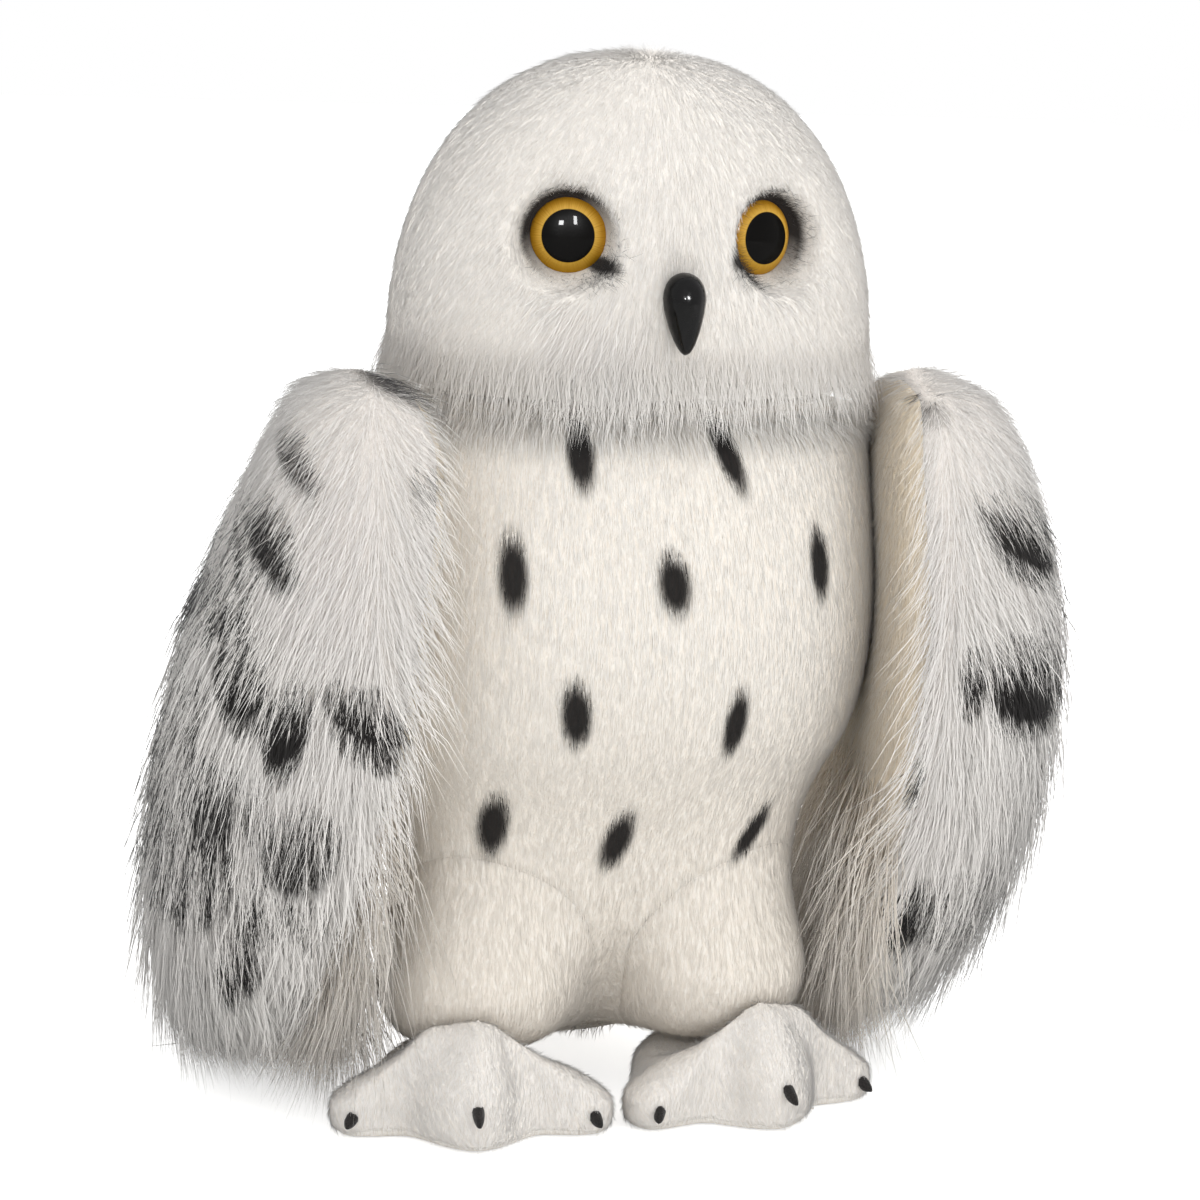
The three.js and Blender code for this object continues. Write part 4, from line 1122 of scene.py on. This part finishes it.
for side in SIDES:
    panel, under, stuffing = (f"wing_{part}_{side}" for part in ("outer", "lining", "stuffing"))
    body, seed = f"wing_{side}", 50 + SIDES[side]
    outer, inner = pillow(body, panel, under, stuffing, 2.4, 20, body, 3.2)
    combed(outer, wing_comb(side), wing_reach, clear_of=[["head_cover", "head_stuffing"]])
    dress(grow(f"wing_undercoat_{side}", outer, under_kit, wing_pile, 1.32, 11.0, 0.35, 0.3, 0.25, seed),
          body, hanging(5.0, 0.05))
    dress(grow(f"wing_guard_hair_{side}", outer, long_kit, wing_pile, 0.7, 33.0, 0.4, 0.22, 0.14, seed + 5),
          body, hanging(7.0, 0.12), 0.75)
    combed(inner, down, clear_of=[["belly_panel", "back_panel", "body_stuffing"]], keep_off_mm=0.3)
    dress(grow(f"wing_lining_pile_{side}", inner, short_kit, lining_pile,
               0.85, 3.8, 0.25, 0.35, 0.16, seed + 8), body)
    combed(inner, fringe_comb(side), only=fringe_place)
    dress(grow(f"wing_fringe_{side}", inner, long_kit, fringe_pile, 1.1, 36.0, 0.4, 0.38, 0.18, seed + 12),
          body, hanging(7.0, 0.15), 0.25)
    cloth_skin(outer, f"wing_outer_cloth_{side}", [panel], body, wing_cloth, 2.5)
    cloth_skin(inner, f"wing_lining_cloth_{side}", [under], body, lining_cloth, 2.5)


# Tail

def tail_comb(co, normals):
    """Down and outwards, but at the root the hair lies back onto the body."""
    root = smoothstep(50, 62, co[:, 2])
    return np.stack([0.25 * (co[:, 0] + 1.5) / 20, 0.45 - 0.5 * root, np.full(len(co), -1.0)], axis=1)


def tail_reach(co, normals):
    return 1.0 - 0.45 * smoothstep(44, 62, co[:, 2])


outer, inner = pillow("tail", "tail_outer", "tail_lining", "tail_stuffing", 1.8, 14, "tail", 2.6)
combed(outer, tail_comb, tail_reach)
dress(grow("tail_guard_hair", outer, long_kit, wing_pile, 1.7, 18.0, 0.4, 0.22, 0.2, 71),
      "tail", hanging(3.0, 0.1), 0.75)
combed(inner, tail_comb, clear_of=[["back_panel", "body_stuffing"]], keep_off_mm=0.3)
dress(grow("tail_lining_pile", inner, short_kit, lining_pile, 1.6, 4.4, 0.25, 0.35, 0.22, 72),
      "tail")
cloth_skin(outer, "tail_outer_cloth", ["tail_outer"], "tail", wing_cloth, 2.0)
cloth_skin(inner, "tail_lining_cloth", ["tail_lining"], "tail", lining_cloth, 2.0)


# Eyes and beak

def turned_about(name, profile, centre, axis, steps):
    """A turned part: rings of a profile of (radius, height) about an axis; both ends close on it."""
    axis = Vector(axis).normalized()
    across = Vector((0, 0, 1))
    other = axis.cross(across)
    verts, faces, ring, ray = [], [], [], []
    for radius, height in profile:
        for i in range(steps):
            angle = math.tau * i / steps
            outwards = across * math.cos(angle) + other * math.sin(angle)
            verts.append((Vector(centre) + axis * height + outwards * radius) * MM)
            ring.append(radius / EYE_RADIUS)
            ray.append(abs(2 * i / steps - 1))
    for row in range(len(profile) - 1):
        for i in range(steps):
            a, b = row * steps + i, row * steps + (i + 1) % steps
            faces.append((a, b, b + steps, a + steps))
    last = (len(profile) - 1) * steps
    faces += [tuple(range(steps))[::-1], tuple(range(last, last + steps))]
    mesh = bpy.data.meshes.new(name)
    mesh.from_pydata(verts, [], faces)
    note(mesh, "ring", ring)
    note(mesh, "ray", ray)
    made = bmesh.new()
    made.from_mesh(mesh)
    bmesh.ops.recalc_face_normals(made, faces=made.faces)
    made.to_mesh(mesh)
    made.free()
    return lone(name, mesh)


EYE_ROWS = 26
EYE_STEPS = 64
for side in SIDES:
    dome = [(EYE_RADIUS * math.cos(t), EYE_DOME * math.sin(t))
            for t in (math.pi / 2 * i / EYE_ROWS for i in range(EYE_ROWS))] + [(0.08, EYE_DOME)]
    back = [(2.4, -EYE_RIM - 12.8), (2.5, -EYE_RIM - 12.4), (2.5, -EYE_RIM - 0.4), (3.0, -EYE_RIM),
            (EYE_RADIUS - 0.5, -EYE_RIM), (EYE_RADIUS, -EYE_RIM + 0.4)]
    eye = turned_about(f"acrylic_eye_{side}", back + dome, eye_place(side), eye_way(side), EYE_STEPS)
    coat(eye, eye_acrylic)
    stands_for(eye, [f"eye_{side}"], "head")

beak = form_of("moulded_beak", ["beak"], 0.5, 10)
coat(beak, beak_abs)
stands_for(beak, ["beak"], "head")


# Parts inside keep their solids, with their real finishes

INSIDE = {"stuffing": fibre_fill, "washer": washer_nylon, "pellet_bag": pellet_cotton}
for name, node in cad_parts.items():
    for word, finish in INSIDE.items():
        if word in name:
            coat(node, finish, smooth=False)


# Floor, light and camera

def floor_finish():
    """Matt white studio floor; for the camera it glows a little, so that it meets the background."""
    material, tree, shader = finish_of("studio_floor", Roughness=0.9, Specular_IOR_Level=0.1)
    surface(tree, shader, layered(tree, paint("#f1f1f0"), [(mottle(tree, 300), 0.3, 0.7, 1.0, "#f4f4f3")]))
    path = add(tree, "ShaderNodeLightPath").outputs["Is Camera Ray"]
    here = add(tree, "ShaderNodeTexCoord").outputs["Object"]
    away = add(tree, "ShaderNodeVectorMath", [here], operation="LENGTH").outputs["Value"]
    far = add(tree, "ShaderNodeMapRange", [away, 0.12, 0.5, 0.62, 1.0], **SMOOTH)
    glow = add(tree, "ShaderNodeMath", [path, far], operation="MULTIPLY").outputs[0]
    shader.inputs["Emission Color"].default_value = (1, 1, 1, 1)
    tree.links.new(glow, shader.inputs["Emission Strength"])
    return material


floor_mesh = bpy.data.meshes.new("floor")
floor_mesh.from_pydata([(-4, -4, 0), (4, -4, 0), (4, 8, 0), (-4, 8, 0)], [], [(0, 1, 2, 3)])
floor = coat(lone("floor", floor_mesh), floor_finish())

AMBIENT = 0.85
world = bpy.data.worlds.new("studio")
scene.world = world
world.use_nodes = True
sky = world.node_tree
camera_ray = add(sky, "ShaderNodeLightPath").outputs["Is Camera Ray"]
strength = add(sky, "ShaderNodeMapRange", {0: camera_ray, 3: AMBIENT, 4: 1.0}).outputs[0]
sky.links.new(strength, sky.nodes["Background"].inputs["Strength"])
sky.nodes["Background"].inputs["Color"].default_value = (1, 1, 1, 1)


def lamp(name, place, aim, size, power, mirrored=False):
    light = bpy.data.lights.new(name, "AREA")
    light.shape = "RECTANGLE"
    light.size, light.size_y = size
    light.energy = power
    holder = bpy.data.objects.new(name, light)
    scene.collection.objects.link(holder)
    holder.location = place
    holder.rotation_mode = "QUATERNION"
    holder.rotation_quaternion = (Vector(aim) - Vector(place)).to_track_quat("-Z", "Y")
    holder.visible_glossy = mirrored
    holder.visible_diffuse = not mirrored


lamp("key_softbox", (-0.9, -1.2, 1.25), (0, 0, 0.15), (0.9, 0.9), 3)
lamp("fill_softbox", (0.9, -1.3, 0.55), (0, 0, 0.12), (0.8, 1.0), 5.5)
lamp("top_softbox", (-0.1, -0.3, 1.5), (0, 0, 0.1), (1.3, 1.3), 5.5)
lamp("rim_softbox", (0, 1.3, 0.9), (0, 0, 0.15), (1.8, 1.0), 8)
lamp("round_catchlight", (-0.75, -1.1, 0.62), (0, 0, 0.24), (0.17, 0.17), 15, mirrored=True)
lamp("strip_catchlight", (-0.25, -1.2, 0.72), (0, 0, 0.24), (0.12, 0.34), 18, mirrored=True)


def photo_camera():
    right = Vector((math.cos(AZIMUTH), math.sin(AZIMUTH), 0))
    away = Vector((math.sin(AZIMUTH) * math.cos(ELEVATION), -math.cos(AZIMUTH) * math.cos(ELEVATION),
                   math.sin(ELEVATION)))
    up = away.cross(right)
    across = right * math.cos(ROLL) + up * math.sin(ROLL)
    above = up * math.cos(ROLL) - right * math.sin(ROLL)
    data = bpy.data.cameras.new("photo_camera")
    data.sensor_width = SENSOR
    data.lens = SENSOR * DISTANCE / (MM_PER_PIXEL * PHOTO_PIXELS)
    middle = PHOTO_PIXELS / 2
    data.shift_x = (middle - TARGET_PIXEL[0]) / PHOTO_PIXELS
    data.shift_y = (TARGET_PIXEL[1] - middle) / PHOTO_PIXELS
    camera = bpy.data.objects.new("photo_camera", data)
    scene.collection.objects.link(camera)
    place = (Vector(TARGET) + away * DISTANCE) * MM
    camera.matrix_world = Matrix(
        [(across[i], above[i], away[i], place[i]) for i in range(3)] + [(0, 0, 0, 1)])
    scene.camera = camera


photo_camera()
scene.view_settings.view_transform = "Standard"
